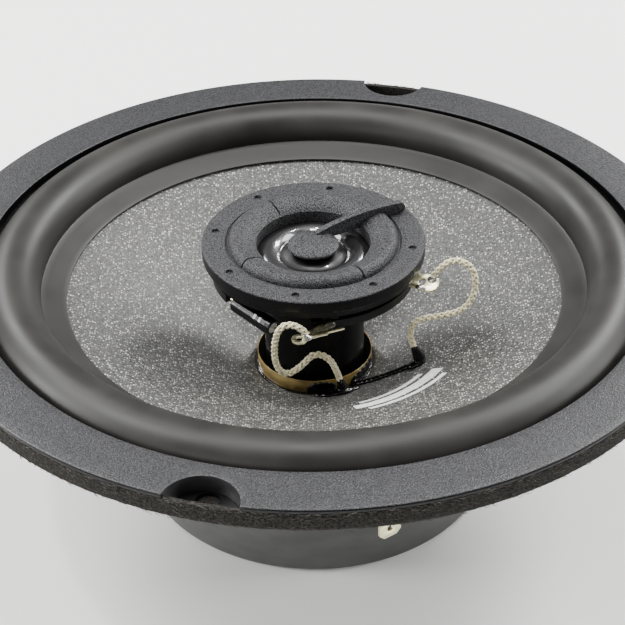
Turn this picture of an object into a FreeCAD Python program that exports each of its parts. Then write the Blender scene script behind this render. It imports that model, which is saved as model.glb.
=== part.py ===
"""Coaxial car speaker, 165 mm class, as an assembly of separate pieces.

Frame: millimetres, +Z out of the front of the speaker along its axis. The origin is on the axis,
in the plane of the gasket's rear face, which is the plane that the speaker is mounted on.
"""
import FreeCAD, Part
import math
import os
import re
import Sketcher

# Driving dimensions. Names that end in _r are radii, in _z heights and in _t thicknesses.
SIZES = {
    # basket: stamped steel
    "steel_t": 0.8, "flange_r": 81.4, "flange_z": 1.55, "spigot_r": 71.0, "wall_z": -5.0,
    "shelf_r": 44.5, "shelf_z": -24.0, "pocket_r": 36.5, "seat_z": -28.6, "seat_r": 16.5,
    "bend_r": 0.8, "window_in_r": 48.5, "window_out_r": 67.0, "screw_hole_r": 2.4, "screw_circle_r": 78.0,
    # trim ring and gasket
    "outer_r": 82.5, "trim_z": 5.2, "trim_in_r": 71.8, "trim_step_z": 4.3, "trim_edge_r": 0.6,
    "trim_relief_r": 74.3, "trim_relief_z": 2.3, "notch_r": 7.4, "notch_circle_r": 82.7,
    "gasket_r": 82.8, "gasket_in_r": 72.6, "gasket_edge_r": 1.3,
    # surround
    "foot_r": 74.0, "rubber_t": 0.6, "roll_out_r": 70.95, "roll_in_r": 58.85, "roll_z": 7.3,
    "crease_z": 0.35, "lip_r": 53.6, "lip_z": -1.75,
    # cone and coil
    "cone_r": 58.0, "cone_z": -0.7, "neck_z": -22.75, "cone_mid_r": 34.5, "cone_mid_z": -11.38,
    "cone_t": 0.75, "former_r": 12.8, "former_t": 0.25, "former_top_z": -19.3,
    "former_low_z": -36.9, "coil_r": 13.3, "coil_top_z": -26.4, "coil_low_z": -36.4,
    "fillet_w": 1.1,
    # spider
    "spider_r": 43.5, "spider_t": 0.4, "wave_r": 36.6, "wave_pitch": 4.2, "wave_rise": 0.7,
    "collar_r": 12.85, "collar_low_z": -25.2, "fit_gap": 0.05,
    # motor
    "plate_r": 35.0, "plate_bore_r": 13.7, "plate_low_z": -33.4, "magnet_r": 38.0,
    "magnet_bore_r": 17.0, "magnet_low_z": -45.0, "yoke_low_z": -49.0, "pole_r": 12.2,
    "pole_z": -29.0, "thread_r": 2.1, "cover_r": 39.9, "cover_t": 1.6, "cover_low_z": -49.9,
    "cover_top_z": -26.6, "cover_edge_r": 1.2, "pole_edge": 0.5, "rivet_circle_r": 27.0, "rivet_r": 2.0,
    "rivet_head_r": 3.4, "rivet_head_t": 0.7,
    # tweeter post and its screw
    "post_r": 11.0, "post_bore_r": 8.6, "post_floor_z": -26.4, "post_top_z": -2.0,
    "post_hole_r": 2.7, "screw_r": 2.0, "screw_head_r": 4.2, "screw_head_t": 2.4,
    "screw_low_z": -44.0, "recess_w": 1.1, "recess_l": 4.6, "recess_t": 1.4,
    # tweeter housing and motor
    "ring_r": 22.0, "ring_low_z": 1.2, "ring_z": 3.1, "clamp_r": 13.0, "clamp_z": 5.55,
    "cup_r": 9.85, "cup_floor_z": -0.8, "pillar_in_r": 19.4, "pillar_out_r": 21.7,
    "tweeter_yoke_r": 9.8, "tweeter_gap_r": 7.6, "tweeter_yoke_z": 4.4, "tweeter_floor_z": 0.4,
    "tweeter_magnet_r": 6.0, "tweeter_magnet_z": 3.0, "tweeter_pole_r": 6.5,
    "tweeter_coil_r": 6.9, "tweeter_coil_t": 0.3, "tweeter_coil_low_z": 2.6,
    # tweeter diaphragm
    "film_t": 0.15, "dome_r": 7.0, "dome_z": 6.75, "rim_z": 5.75, "edge_mid_r": 9.25,
    "edge_z": 6.95, "edge_r": 11.4, "rim_r": 12.9,
    # tweeter face
    "face_r": 24.0, "face_z": 9.3, "face_low_z": 6.6, "skirt_r": 23.1, "skirt_low_z": 4.7,
    "skirt_in_r": 21.8, "roof_z": 7.4, "throat_r": 12.3, "throat_z": 8.7, "crest_r": 16.2,
    "crest_z": 10.7, "ring_out_r": 18.35, "groove_r": 18.95, "groove_z": 8.8, "nib_r": 13.6,
    "pin_hole_r": 0.9, "pin_circle_r": 21.4, "pin_hole_t": 0.6, "seam_w": 0.35, "seam_z": 8.95,
    # dome guard
    "disc_r": 5.6, "disc_low_z": 7.5, "disc_edge_z": 8.2, "disc_top_z": 9.0, "arm_t": 1.5,
    "arm_l": 21.0, "arm_tip_z": 12.0, "arm_mid_l": 7.4, "arm_mid_z": 11.2,
    "arm_root_l": 4.9, "arm_land_l": 11.2,
    # tabs, capacitor
    "tab_w": 3.6, "tab_t": 0.5, "right_tab_in_r": 19.0, "right_tab_out_r": 28.2,
    "right_tab_eye_r": 24.4, "tab_eye_r": 0.7, "strip_w": 1.6, "strip_l": 11.6,
    "solder_r": 1.0, "solder_gap": 0.45, "gap_in_r": 18.3,
    "can_r": 1.8, "can_l": 11.6, "can_edge": 0.3, "wire_r": 0.3, "wire_l": 1.6,
    # terminal board and blades
    "board_t": 1.2, "board_in_r": 53.5, "board_out_r": 67.5, "pin_seat_r": 59.5,
    "pin_r": 1.2, "pin_head_r": 1.9, "pin_head_t": 0.8, "blade_top_z": -13.3, "blade_edge": 1.0,
    "blade_w": 5.0, "blade_t": 0.8, "blade_low_z": -22.4, "blade_hole_r": 0.75,
    "short_blade_w": 3.8, "short_blade_low_z": -22.4,
    "short_blade_top_z": -15.3,
    # leads
    "lead_d": 1.5, "glue_r": 2.2, "glue_top_r": 1.2, "glue_h": 1.35, "glue_lift": 0.15,
    "rear_glue_h": 1.5,
}

# Angles round the axis, in degrees from +X, and how many of each there are.
NOTCH_DEG = 75.3
NOTCH_COUNT = 4
SPOKE_DEG = -66.5
WINDOW_COUNT = 6
WINDOW_HALF_DEG = 22.5
RIVET_DEG = 45.0
RIVET_COUNT = 4
WAVE_COUNT = 5
ARM_DEG = 34.7
SEAM_COUNT = 4
PIN_HOLE_COUNT = 8
PILLAR_DEG = -81.0
PILLAR_HALF_DEG = 4.4
PILLAR_COUNT = 5
CAPACITOR_GAP_DEGS = (-148.0, -92.0)
CAPACITOR_DEG = -45.7
CAPACITOR_DIP_DEG = 4.0
RIGHT_TAB_DEG = -19.5
LEFT_TAB_DEG = 202.2
ARM_AIM_DEG = 22.3
BOARD_DEG = -70.9
BOARD_SWEEP_DEG = 25.0
BLADE_DEG = 34.0
TERMINAL_RIVET_DEGS = (-71.5, -61.5)

# Places in the mounting frame.
ARM_ROOT = (0.5, 3.0, 0.0)
LEFT_TAB_ROOT = (6.1, -21.2, 0.0)
CAPACITOR_AT = (-12.3, -16.9, 1.5)
BLADE_AT = (14.1, -60.0, 0.0)
SHORT_BLADE_AT = (24.0, -53.3, 0.0)

# The leads' routes: each starts at its tab or rivet and ends at its glue on the cone.
LEFT_LEAD = [(-1.6, -25.0, 2.2), (-3.4, -25.8, 5.2), (-7.2, -25.8, 5.0), (-8.5, -23.9, -1.6),
             (-8.2, -22.2, -8.0), (-6.2, -20.8, -11.6), (-3.0, -19.6, -10.2), (-0.2, -18.6, -7.2),
             (3.2, -17.4, -9.6), (5.0, -16.2, -15.0), (5.8, -15.0, -18.9)]
RIGHT_LEAD = [(25.2, -8.0, 4.6), (27.6, -8.0, 8.2), (31.2, -8.3, 9.0), (34.2, -8.9, 6.2),
              (34.2, -9.8, 1.2), (32.0, -10.8, -2.2), (27.0, -11.6, -3.1), (21.2, -12.1, -3.6),
              (20.3, -12.1, -8.0), (21.6, -11.6, -11.6), (22.6, -10.9, -14.2)]


def from_polar(points):
    """Route points from their radii, angles in degrees and heights."""
    return [(round(radius * math.cos(math.radians(degrees)), 2),
             round(radius * math.sin(math.radians(degrees)), 2), height)
            for radius, degrees, height in points]


POSITIVE_LEAD = from_polar([(59.5, -71.5, -9.6), (56.8, -72.3, -8.2), (51.5, -73.5, -9.2),
                            (45.5, -75.0, -13.6), (39.0, -76.0, -17.2), (32.0, -76.5, -18.6),
                            (26.6, -76.0, -19.4)])
NEGATIVE_LEAD = from_polar([(59.5, -61.5, -9.6), (56.8, -61.2, -8.2), (51.5, -60.2, -9.2),
                            (45.5, -60.0, -13.6), (39.0, -59.3, -17.2), (32.0, -59.2, -18.6),
                            (26.6, -60.0, -19.4)])

doc = FreeCAD.newDocument("coaxial_speaker")
sheet = doc.addObject("Spreadsheet::Sheet", "Sizes")
for row, (alias, size) in enumerate(SIZES.items(), start=1):
    sheet.set("A%d" % row, alias)
    sheet.set("B%d" % row, str(size))
    sheet.setAlias("B%d" % row, alias)
doc.recompute()

NODES = {}


def bound(text):
    """The expression with each size's name pointing at its cell."""
    return re.sub(r"\b[a-z_]+\b", lambda m: "Sizes." + m[0] if m[0] in SIZES else m[0], text)


def value(text):
    """The number that the sheet gives for an expression."""
    return float(sheet.evalExpression(bound(text)))


def node(label, item, place=None):
    """Names a finished piece and sets where it lies."""
    item.Label = label
    if place:
        item.Placement = place
    NODES[label] = item
    return item


def origin_item(body, role):
    return next(item for item in body.Origin.OriginFeatures if item.Role == role)


def sketch_on(body, name, role="XY_Plane", height=None):
    """A sketch on one of the body's own origin planes, lifted by an expression if one is given."""
    sketch = body.newObject("Sketcher::SketchObject", name)
    sketch.AttachmentSupport = (origin_item(body, role), [""])
    sketch.MapMode = "FlatFace"
    if height:
        sketch.setExpression("AttachmentOffset.Base.z", bound(height))
    return sketch


def pin_point(sketch, geometry, vertex, across, up):
    """Fixes a vertex at its distances from the sketch's origin, which follow the sheet."""
    for kind, text in (("DistanceX", across), ("DistanceY", up)):
        index = sketch.addConstraint(Sketcher.Constraint(kind, -1, 1, geometry, vertex, value(text)))
        sketch.setExpression("Constraints[%d]" % index, bound(text))


def vertex_at(sketch, geometry, point):
    """Which end of a line or arc, 1 or 2, lies at a pair of expressions."""
    place = FreeCAD.Vector(value(point[0]), value(point[1]), 0)
    ends = [sketch.getPoint(geometry, vertex).distanceToPoint(place) for vertex in (1, 2)]
    return 1 if ends[0] < ends[1] else 2


def draw(sketch, outline):
    """Draws a closed outline. A pair of expressions is a corner reached by a straight line; four
    are an arc's middle point and its end."""
    points = [item[-2:] for item in outline]
    count = len(outline)
    for index in range(count):
        start = FreeCAD.Vector(value(points[index][0]), value(points[index][1]), 0)
        following = outline[(index + 1) % count]
        end = FreeCAD.Vector(value(following[-2]), value(following[-1]), 0)
        if len(following) == 2:
            sketch.addGeometry(Part.LineSegment(start, end), False)
        else:
            middle = FreeCAD.Vector(value(following[0]), value(following[1]), 0)
            sketch.addGeometry(Part.Arc(start, middle, end), False)
    for index in range(count):
        after = (index + 1) % count
        start_vertex = vertex_at(sketch, index, points[index])
        next_vertex = vertex_at(sketch, after, points[after])
        sketch.addConstraint(
            Sketcher.Constraint("Coincident", index, 3 - start_vertex, after, next_vertex))
    for index in range(count):
        pin_point(sketch, index, vertex_at(sketch, index, points[index]), *points[index])
    for index in range(count):
        following = outline[(index + 1) % count]
        if len(following) == 4:
            spot = FreeCAD.Vector(value(following[0]), value(following[1]), 0)
            marker = sketch.addGeometry(Part.Point(spot), True)
            pin_point(sketch, marker, 1, following[0], following[1])
            sketch.addConstraint(Sketcher.Constraint("PointOnObject", marker, 1, index))


def turned(label, outline, angle=360.0, place=None):
    """A body turned round Z from an outline of radius and height."""
    body = doc.addObject("PartDesign::Body", label)
    sketch = sketch_on(body, label + "_outline", "XZ_Plane")
    draw(sketch, outline)
    turn = body.newObject("PartDesign::Revolution", label + "_turn")
    turn.Profile = sketch
    turn.ReferenceAxis = (sketch, ["V_Axis"])
    turn.Angle = angle
    sketch.Visibility = False
    return node(label, body, place)


def tube(label, inner, outer, low, high):
    return turned(label, [(inner, low), (outer, low), (outer, high), (inner, high)])


def round_hole(sketch, across, up, radius):
    """A circle whose centre and radius follow the sheet."""
    centre = FreeCAD.Vector(value(across), value(up), 0)
    circle = sketch.addGeometry(Part.Circle(centre, FreeCAD.Vector(0, 0, 1), value(radius)), False)
    pin_point(sketch, circle, 3, across, up)
    index = sketch.addConstraint(Sketcher.Constraint("Radius", circle, value(radius)))
    sketch.setExpression("Constraints[%d]" % index, bound(radius))


def cut_pattern(body, name, sketch, count, depth=None):
    """Pockets a sketch through the body, or to a depth, and repeats it round Z."""
    before = body.Tip.Shape.Volume if not body.Tip.Shape.isNull() else 0.0
    pocket = body.newObject("PartDesign::Pocket", name)
    pocket.Profile = sketch
    if depth:
        pocket.Type = "Length"
        pocket.setExpression("Length", bound(depth))
    else:
        pocket.Type = "ThroughAll"
        pocket.Midplane = True
    sketch.Visibility = False
    if count > 1:
        doc.recompute()
        pattern = body.newObject("PartDesign::PolarPattern", name + "_pattern")
        pattern.Originals = [pocket]
        pattern.Axis = (origin_item(body, "Z_Axis"), [""])
        pattern.Angle = 360
        pattern.Occurrences = count
        body.Tip = pattern
    doc.recompute()
    if body.Tip.Shape.Volume >= before:
        raise RuntimeError(name + " cuts nothing")
    return pocket


def around(across, up, radius, degrees):
    """Expressions for a point at a radius and an angle from a centre."""
    return ("%s + (%s) * cos(%g deg)" % (across, radius, degrees),
            "%s + (%s) * sin(%g deg)" % (up, radius, degrees))


def polar(radius, degrees):
    return around("0", "0", radius, degrees)


def spot(radius, degrees, height):
    """A vector at a radius, an angle in degrees and a height."""
    angle = math.radians(degrees)
    return FreeCAD.Vector(radius * math.cos(angle), radius * math.sin(angle), height)


def standing(degrees, base=FreeCAD.Vector(0, 0, 0)):
    """A placement turned round Z."""
    return FreeCAD.Placement(base, FreeCAD.Rotation(FreeCAD.Vector(0, 0, 1), degrees))


def box(name, corner, sizes, place=None):
    """A Part box whose sizes follow the sheet, with its lowest corner set in a frame."""
    item = doc.addObject("Part::Box", name)
    for key, text in zip(("Length", "Width", "Height"), sizes):
        item.setExpression(key, bound(text))
    shift = FreeCAD.Vector(*[value(text) for text in corner])
    frame = place or FreeCAD.Placement()
    item.Placement = frame.multiply(FreeCAD.Placement(shift, FreeCAD.Rotation()))
    return item


def cylinder(name, radius, low, high, place=None):
    """A Part cylinder standing between two heights of a frame."""
    item = doc.addObject("Part::Cylinder", name)
    item.setExpression("Radius", bound(radius))
    item.setExpression("Height", bound("(%s) - (%s)" % (high, low)))
    rise = FreeCAD.Placement(FreeCAD.Vector(0, 0, value(low)), FreeCAD.Rotation())
    item.Placement = (place or FreeCAD.Placement()).multiply(rise)
    return item


def joined(name, shapes):
    fuse = doc.addObject("Part::MultiFuse", name)
    fuse.Shapes = shapes
    return fuse


def taken_from(name, base, tool):
    cut = doc.addObject("Part::Cut", name)
    cut.Base = base
    cut.Tool = tool
    return cut


def grouped(label, items):
    """Like pieces that share one node."""
    group = doc.addObject("Part::Compound", label + "_group")
    group.Links = items
    return node(label, group)


def hole_pattern(body, name, radius, circle_r, degrees, count, start=None, depth=None):
    """Round holes on a circle, through the body or sunk from a height."""
    sketch = sketch_on(body, name + "_circle", height=start)
    round_hole(sketch, *polar(circle_r, degrees), radius)
    doc.recompute()
    cut_pattern(body, name, sketch, count, depth)


def sector(body, name, inner, outer, start, end, height=None):
    """A sketch of a ring's sector between two angles."""
    middle = (start + end) / 2.0
    sketch = sketch_on(body, name, height=height)
    draw(sketch, [
        polar(inner, middle) + polar(inner, start),
        polar(outer, start),
        polar(outer, middle) + polar(outer, end),
        polar(inner, end),
    ])
    doc.recompute()
    return sketch


# ---------------------------------------------------------------- frame and front ring

def make_basket():
    bend = ("spigot_r + bend_r", "flange_z - steel_t - bend_r")
    body = turned("basket", [
        ("flange_r", "flange_z"),
        around(*bend, "bend_r + steel_t", 90),
        around(*bend, "bend_r + steel_t", 135) + around(*bend, "bend_r + steel_t", 180),
        ("spigot_r - steel_t", "wall_z"),
        ("shelf_r", "shelf_z"),
        ("pocket_r", "shelf_z"),
        ("pocket_r", "seat_z"),
        ("seat_r", "seat_z"),
        ("seat_r", "seat_z - steel_t"),
        ("pocket_r + steel_t", "seat_z - steel_t"),
        ("pocket_r + steel_t", "shelf_z - steel_t"),
        ("shelf_r + steel_t / 3", "shelf_z - steel_t"),
        ("spigot_r", "wall_z - steel_t / 2"),
        around(*bend, "bend_r", 180),
        around(*bend, "bend_r", 135) + around(*bend, "bend_r", 90),
        ("flange_r", "flange_z - steel_t"),
    ])
    doc.recompute()
    middle = SPOKE_DEG + 180.0 / WINDOW_COUNT
    window = sector(body, "window_outline", "window_in_r", "window_out_r",
                    middle - WINDOW_HALF_DEG, middle + WINDOW_HALF_DEG)
    cut_pattern(body, "window", window, WINDOW_COUNT)
    hole_pattern(body, "screw_hole", "screw_hole_r", "screw_circle_r", NOTCH_DEG, NOTCH_COUNT)
    hole_pattern(body, "seat_hole", "rivet_r + fit_gap", "rivet_circle_r", RIVET_DEG, RIVET_COUNT)
    for index, degrees in enumerate(TERMINAL_RIVET_DEGS):
        hole_pattern(body, "board_hole_%d" % index, "pin_r + fit_gap", "pin_seat_r", degrees, 1)


def make_trim_ring():
    inner = ("trim_in_r + trim_edge_r / 2", "trim_z - trim_edge_r / 2", "trim_edge_r / 2")
    outer = ("outer_r - trim_edge_r", "trim_z - trim_edge_r", "trim_edge_r")
    body = turned("trim_ring", [
        ("trim_in_r", "trim_relief_z"),
        around(*inner, 180),
        around(*inner, 135) + around(*inner, 90),
        around(*outer, 90),
        around(*outer, 45) + around(*outer, 0),
        ("outer_r", "trim_step_z"),
        ("flange_r", "trim_step_z"),
        ("flange_r", "flange_z"),
        ("trim_relief_r", "flange_z"),
        ("trim_relief_r", "trim_relief_z"),
    ])
    doc.recompute()
    hole_pattern(body, "notch", "notch_r", "notch_circle_r", NOTCH_DEG, NOTCH_COUNT)


def make_edge_gasket():
    corner = ("gasket_r - gasket_edge_r", "gasket_edge_r", "gasket_edge_r")
    body = turned("edge_gasket", [
        ("gasket_in_r", "0"),
        around(*corner, -90),
        around(*corner, -45) + around(*corner, 0),
        ("gasket_r", "trim_step_z - gasket_edge_r / 3"),
        ("outer_r - gasket_edge_r / 4", "trim_step_z"),
        ("flange_r", "trim_step_z"),
        ("flange_r", "flange_z - steel_t"),
        ("gasket_in_r", "flange_z - steel_t"),
    ])
    doc.recompute()
    hole_pattern(body, "gasket_hole", "screw_hole_r", "screw_circle_r", NOTCH_DEG, NOTCH_COUNT)


# ---------------------------------------------------------------- moving cone

def make_surround():
    middle = "(roll_out_r + roll_in_r - rubber_t / 6) / 2"
    turned("surround", [
        ("foot_r", "flange_z"),
        ("foot_r", "flange_z + rubber_t"),
        ("roll_out_r", "flange_z + rubber_t"),
        (middle, "roll_z", "roll_in_r", "crease_z"),
        ("lip_r", "lip_z"),
        ("lip_r + rubber_t / 3", "lip_z - 0.9 * rubber_t"),
        ("roll_in_r + 0.6 * rubber_t", "crease_z - 0.83 * rubber_t"),
        (middle, "roll_z - rubber_t", "roll_out_r - rubber_t", "flange_z"),
    ])


def make_cone_and_coil():
    turned("cone", [
        ("cone_mid_r", "cone_mid_z", "former_r", "neck_z"),
        ("former_r", "neck_z - cone_t"),
        ("cone_mid_r", "cone_mid_z - cone_t", "cone_r", "cone_z - cone_t"),
        ("cone_r", "cone_z"),
    ])
    tube("voice_coil_former", "former_r - former_t", "former_r", "former_low_z", "former_top_z")
    tube("voice_coil_winding", "former_r", "coil_r", "coil_low_z", "coil_top_z")
    turned("neck_glue", [
        ("former_r", "neck_z + fillet_w"),
        ("former_r", "neck_z + fit_gap"),
        ("former_r + fillet_w", "neck_z + fit_gap + 0.57 * fillet_w"),
    ])


def make_spider():
    """A cloth disc with round waves, a collar round the coil's tube and a flat glued rim."""
    low, high = "shelf_z + fit_gap", "shelf_z + fit_gap + spider_t"
    step = "wave_pitch / 2"
    count = 2 * WAVE_COUNT

    def waves(level, order):
        """Arcs between the levels' crossing points, up and down in turn."""
        arcs = []
        for index in order:
            inward = order.step < 0
            end = index if inward else index + 1
            sign = "+" if index % 2 else "-"
            arcs.append(("wave_r - %g * %s" % (count - index - 0.5, step),
                         "%s %s wave_rise" % (level, sign),
                         "wave_r - %g * %s" % (count - end, step), level))
        return arcs

    outline = [("spider_r", low), ("spider_r", high), ("wave_r", high)]
    outline += waves(high, range(count - 1, -1, -1))
    outline += [("collar_r", high), ("collar_r", "collar_low_z"),
                ("collar_r + spider_t", "collar_low_z"), ("collar_r + spider_t", low),
                ("wave_r - %d * %s" % (count, step), low)]
    outline += waves(low, range(0, count, 1))
    turned("spider", outline)


# ---------------------------------------------------------------- motor

def make_motor():
    body = tube("top_plate", "plate_bore_r", "plate_r", "plate_low_z", "seat_z - steel_t")
    doc.recompute()
    hole_pattern(body, "rivet_hole", "rivet_r + fit_gap", "rivet_circle_r", RIVET_DEG, RIVET_COUNT)
    tube("ferrite_magnet", "magnet_bore_r", "magnet_r", "magnet_low_z", "plate_low_z")
    turned("yoke", [
        ("thread_r", "yoke_low_z"),
        ("plate_r - pole_edge", "yoke_low_z"),
        ("plate_r", "yoke_low_z + pole_edge"),
        ("plate_r", "magnet_low_z"),
        ("pole_r", "magnet_low_z"),
        ("pole_r", "pole_z - pole_edge"),
        ("pole_r - pole_edge", "pole_z"),
        ("thread_r", "pole_z"),
    ])
    corner = ("cover_r - cover_edge_r", "cover_low_z + cover_edge_r", "cover_edge_r")
    turned("magnet_cover", [
        ("0", "cover_low_z"),
        around(*corner, -90),
        around(*corner, -45) + around(*corner, 0),
        ("cover_r", "cover_top_z"),
        ("cover_r - cover_t", "cover_top_z"),
        ("cover_r - cover_t", "yoke_low_z - fit_gap"),
        ("0", "yoke_low_z - fit_gap"),
    ])
    rivets = []
    for index in range(RIVET_COUNT):
        degrees = RIVET_DEG + index * 360.0 / RIVET_COUNT
        place = standing(0, spot(SIZES["rivet_circle_r"], degrees, 0))
        shank = cylinder("rivet_shank_%d" % index, "rivet_r", "plate_low_z + steel_t", "seat_z", place)
        head = cylinder("rivet_head_%d" % index, "rivet_head_r", "seat_z", "seat_z + rivet_head_t",
                        place)
        rivets.append(joined("rivet_%d" % index, [shank, head]))
    grouped("motor_rivets", rivets)


# ---------------------------------------------------------------- tweeter

def make_post():
    turned("tweeter_post", [
        ("post_hole_r", "pole_z"),
        ("post_r", "pole_z"),
        ("post_r", "post_top_z"),
        ("post_bore_r", "post_top_z"),
        ("post_bore_r", "post_floor_z"),
        ("post_hole_r", "post_floor_z"),
    ])
    shank = cylinder("screw_shank", "screw_r", "screw_low_z", "post_floor_z")
    head = cylinder("screw_head", "screw_head_r", "post_floor_z", "post_floor_z + screw_head_t")
    corner = "post_floor_z + screw_head_t - recess_t"
    across = box("recess_across", ("-recess_l / 2", "-recess_w / 2", corner),
                 ("recess_l", "recess_w", "2 * recess_t"))
    along = box("recess_along", ("-recess_w / 2", "-recess_l / 2", corner),
                ("recess_w", "recess_l", "2 * recess_t"))
    node("post_screw", taken_from("screw_cut", joined("screw_blank", [shank, head]),
                                  joined("recess", [across, along])))


def make_tweeter_housing():
    body = turned("tweeter_housing", [
        ("0", "post_top_z"),
        ("post_r", "post_top_z"),
        ("post_r", "ring_low_z"),
        ("ring_r", "ring_low_z"),
        ("ring_r", "ring_z"),
        ("clamp_r", "ring_z"),
        ("clamp_r", "clamp_z"),
        ("edge_r + 0.3", "clamp_z"),
        ("edge_r + 0.3", "clamp_z - 0.6"),
        ("cup_r", "clamp_z - 0.6"),
        ("cup_r", "cup_floor_z"),
        ("0", "cup_floor_z"),
    ])
    doc.recompute()
    gap = sector(body, "capacitor_gap_outline", "gap_in_r", "ring_r + 1", *CAPACITOR_GAP_DEGS)
    cut_pattern(body, "capacitor_gap", gap, 1)
    sketch = sector(body, "pillar_outline", "pillar_in_r", "pillar_out_r",
                    PILLAR_DEG - PILLAR_HALF_DEG, PILLAR_DEG + PILLAR_HALF_DEG, "ring_z")
    pillar = body.newObject("PartDesign::Pad", "pillar")
    pillar.Profile = sketch
    pillar.setExpression("Length", bound("skirt_low_z - ring_z"))
    sketch.Visibility = False
    doc.recompute()
    pattern = body.newObject("PartDesign::PolarPattern", "pillar_pattern")
    pattern.Originals = [pillar]
    pattern.Axis = (origin_item(body, "Z_Axis"), [""])
    pattern.Angle = 360
    pattern.Occurrences = PILLAR_COUNT
    body.Tip = pattern


def make_tweeter_motor():
    turned("tweeter_yoke", [
        ("0", "cup_floor_z"),
        ("tweeter_yoke_r", "cup_floor_z"),
        ("tweeter_yoke_r", "tweeter_yoke_z"),
        ("tweeter_gap_r", "tweeter_yoke_z"),
        ("tweeter_gap_r", "tweeter_floor_z"),
        ("0", "tweeter_floor_z"),
    ])
    node("tweeter_magnet", cylinder("tweeter_disc", "tweeter_magnet_r", "tweeter_floor_z",
                                    "tweeter_magnet_z"))
    node("tweeter_top_plate", cylinder("tweeter_pole", "tweeter_pole_r", "tweeter_magnet_z",
                                       "tweeter_yoke_z"))
    tube("tweeter_voice_coil", "tweeter_coil_r", "tweeter_coil_r + tweeter_coil_t",
         "tweeter_coil_low_z", "rim_z - film_t - fit_gap")
    bow = "(dome_r ^ 2 + (dome_z - rim_z) ^ 2) / (2 * (dome_z - rim_z))"
    half_way = "dome_z - (%s) + sqrt((%s) ^ 2 - dome_r ^ 2 / 4)" % (bow, bow)
    turned("tweeter_diaphragm", [
        ("0", "dome_z - film_t"),
        ("dome_r / 2", half_way + " - film_t", "dome_r", "rim_z - film_t"),
        ("edge_mid_r", "edge_z - film_t", "edge_r + film_t / 2", "rim_z - film_t"),
        ("rim_r", "rim_z - film_t"),
        ("rim_r", "rim_z"),
        ("edge_r", "rim_z"),
        ("edge_mid_r", "edge_z", "dome_r", "rim_z"),
        ("dome_r / 2", half_way, "0", "dome_z"),
    ])


def make_tweeter_face():
    body = turned("tweeter_face", [
        ("throat_r", "rim_z + fit_gap"),
        ("throat_r", "throat_z"),
        ("(throat_r + crest_r) / 2 - 0.2", "(throat_z + crest_z) / 2 + 0.35", "crest_r", "crest_z"),
        ("ring_out_r - 0.55", "crest_z - 0.5", "ring_out_r", "face_z"),
        ("ring_out_r", "groove_z"),
        ("groove_r", "groove_z"),
        ("groove_r", "face_z"),
        ("face_r - 0.3", "face_z"),
        ("face_r", "face_z - 0.3"),
        ("face_r", "face_low_z"),
        ("skirt_r", "face_low_z"),
        ("skirt_r", "skirt_low_z"),
        ("skirt_in_r", "skirt_low_z"),
        ("skirt_in_r", "roof_z"),
        ("nib_r", "roof_z"),
        ("nib_r", "rim_z + fit_gap"),
    ])
    doc.recompute()
    hole_pattern(body, "pin_hole", "pin_hole_r", "pin_circle_r", ARM_DEG, PIN_HOLE_COUNT,
                 "face_z", "pin_hole_t")
    slot = sketch_on(body, "seam_outline", height="crest_z + 0.5")
    half = "seam_w / 2"
    corners = [("throat_r - 1", "-" + half), ("ring_out_r + 0.3", "-" + half),
               ("ring_out_r + 0.3", half), ("throat_r - 1", half)]
    turn = "%g deg" % ARM_DEG
    draw(slot, [("(%s) * cos(%s) - (%s) * sin(%s)" % (across, turn, up, turn),
                 "(%s) * sin(%s) + (%s) * cos(%s)" % (across, turn, up, turn))
                for across, up in corners])
    doc.recompute()
    cut_pattern(body, "seam", slot, SEAM_COUNT, "crest_z + 0.5 - seam_z")
    return body


def make_dome_guard(face):
    """A small disc over the dome, carried by one blade that lands on the face's round ring."""
    disc = turned("guard_disc", [
        ("0", "disc_low_z"),
        ("disc_r", "disc_low_z"),
        ("disc_r", "disc_edge_z - 0.2"),
        ("disc_r - 0.2", "disc_edge_z"),
        ("disc_r * 0.55", "disc_top_z - 0.25", "0", "disc_top_z"),
    ])
    NODES.pop("guard_disc")
    blade = doc.addObject("PartDesign::Body", "guard_blade")
    sketch = sketch_on(blade, "guard_blade_outline", "XZ_Plane")
    draw(sketch, [
        ("0", "disc_low_z"),
        ("arm_root_l", "disc_low_z"),
        ("arm_root_l + 2.6", "disc_low_z + 0.9", "arm_land_l", "throat_z - 0.5"),
        ("arm_land_l + 5", "face_z + 0.3"),
        ("arm_l - 1.6", "face_z + 0.1"),
        ("arm_l", "arm_tip_z - 1.2", "arm_l - 1.0", "arm_tip_z"),
        ("arm_mid_l", "arm_mid_z", "0", "disc_top_z + 0.2"),
    ])
    pad = blade.newObject("PartDesign::Pad", "guard_blade_pad")
    pad.Profile = sketch
    pad.Midplane = True
    pad.setExpression("Length", bound("arm_t"))
    sketch.Visibility = False
    blade.Placement = standing(ARM_AIM_DEG, FreeCAD.Vector(*ARM_ROOT))
    blank = joined("guard_blank", [disc, blade])
    node("dome_guard", taken_from("guard_cut", blank, face))


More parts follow.
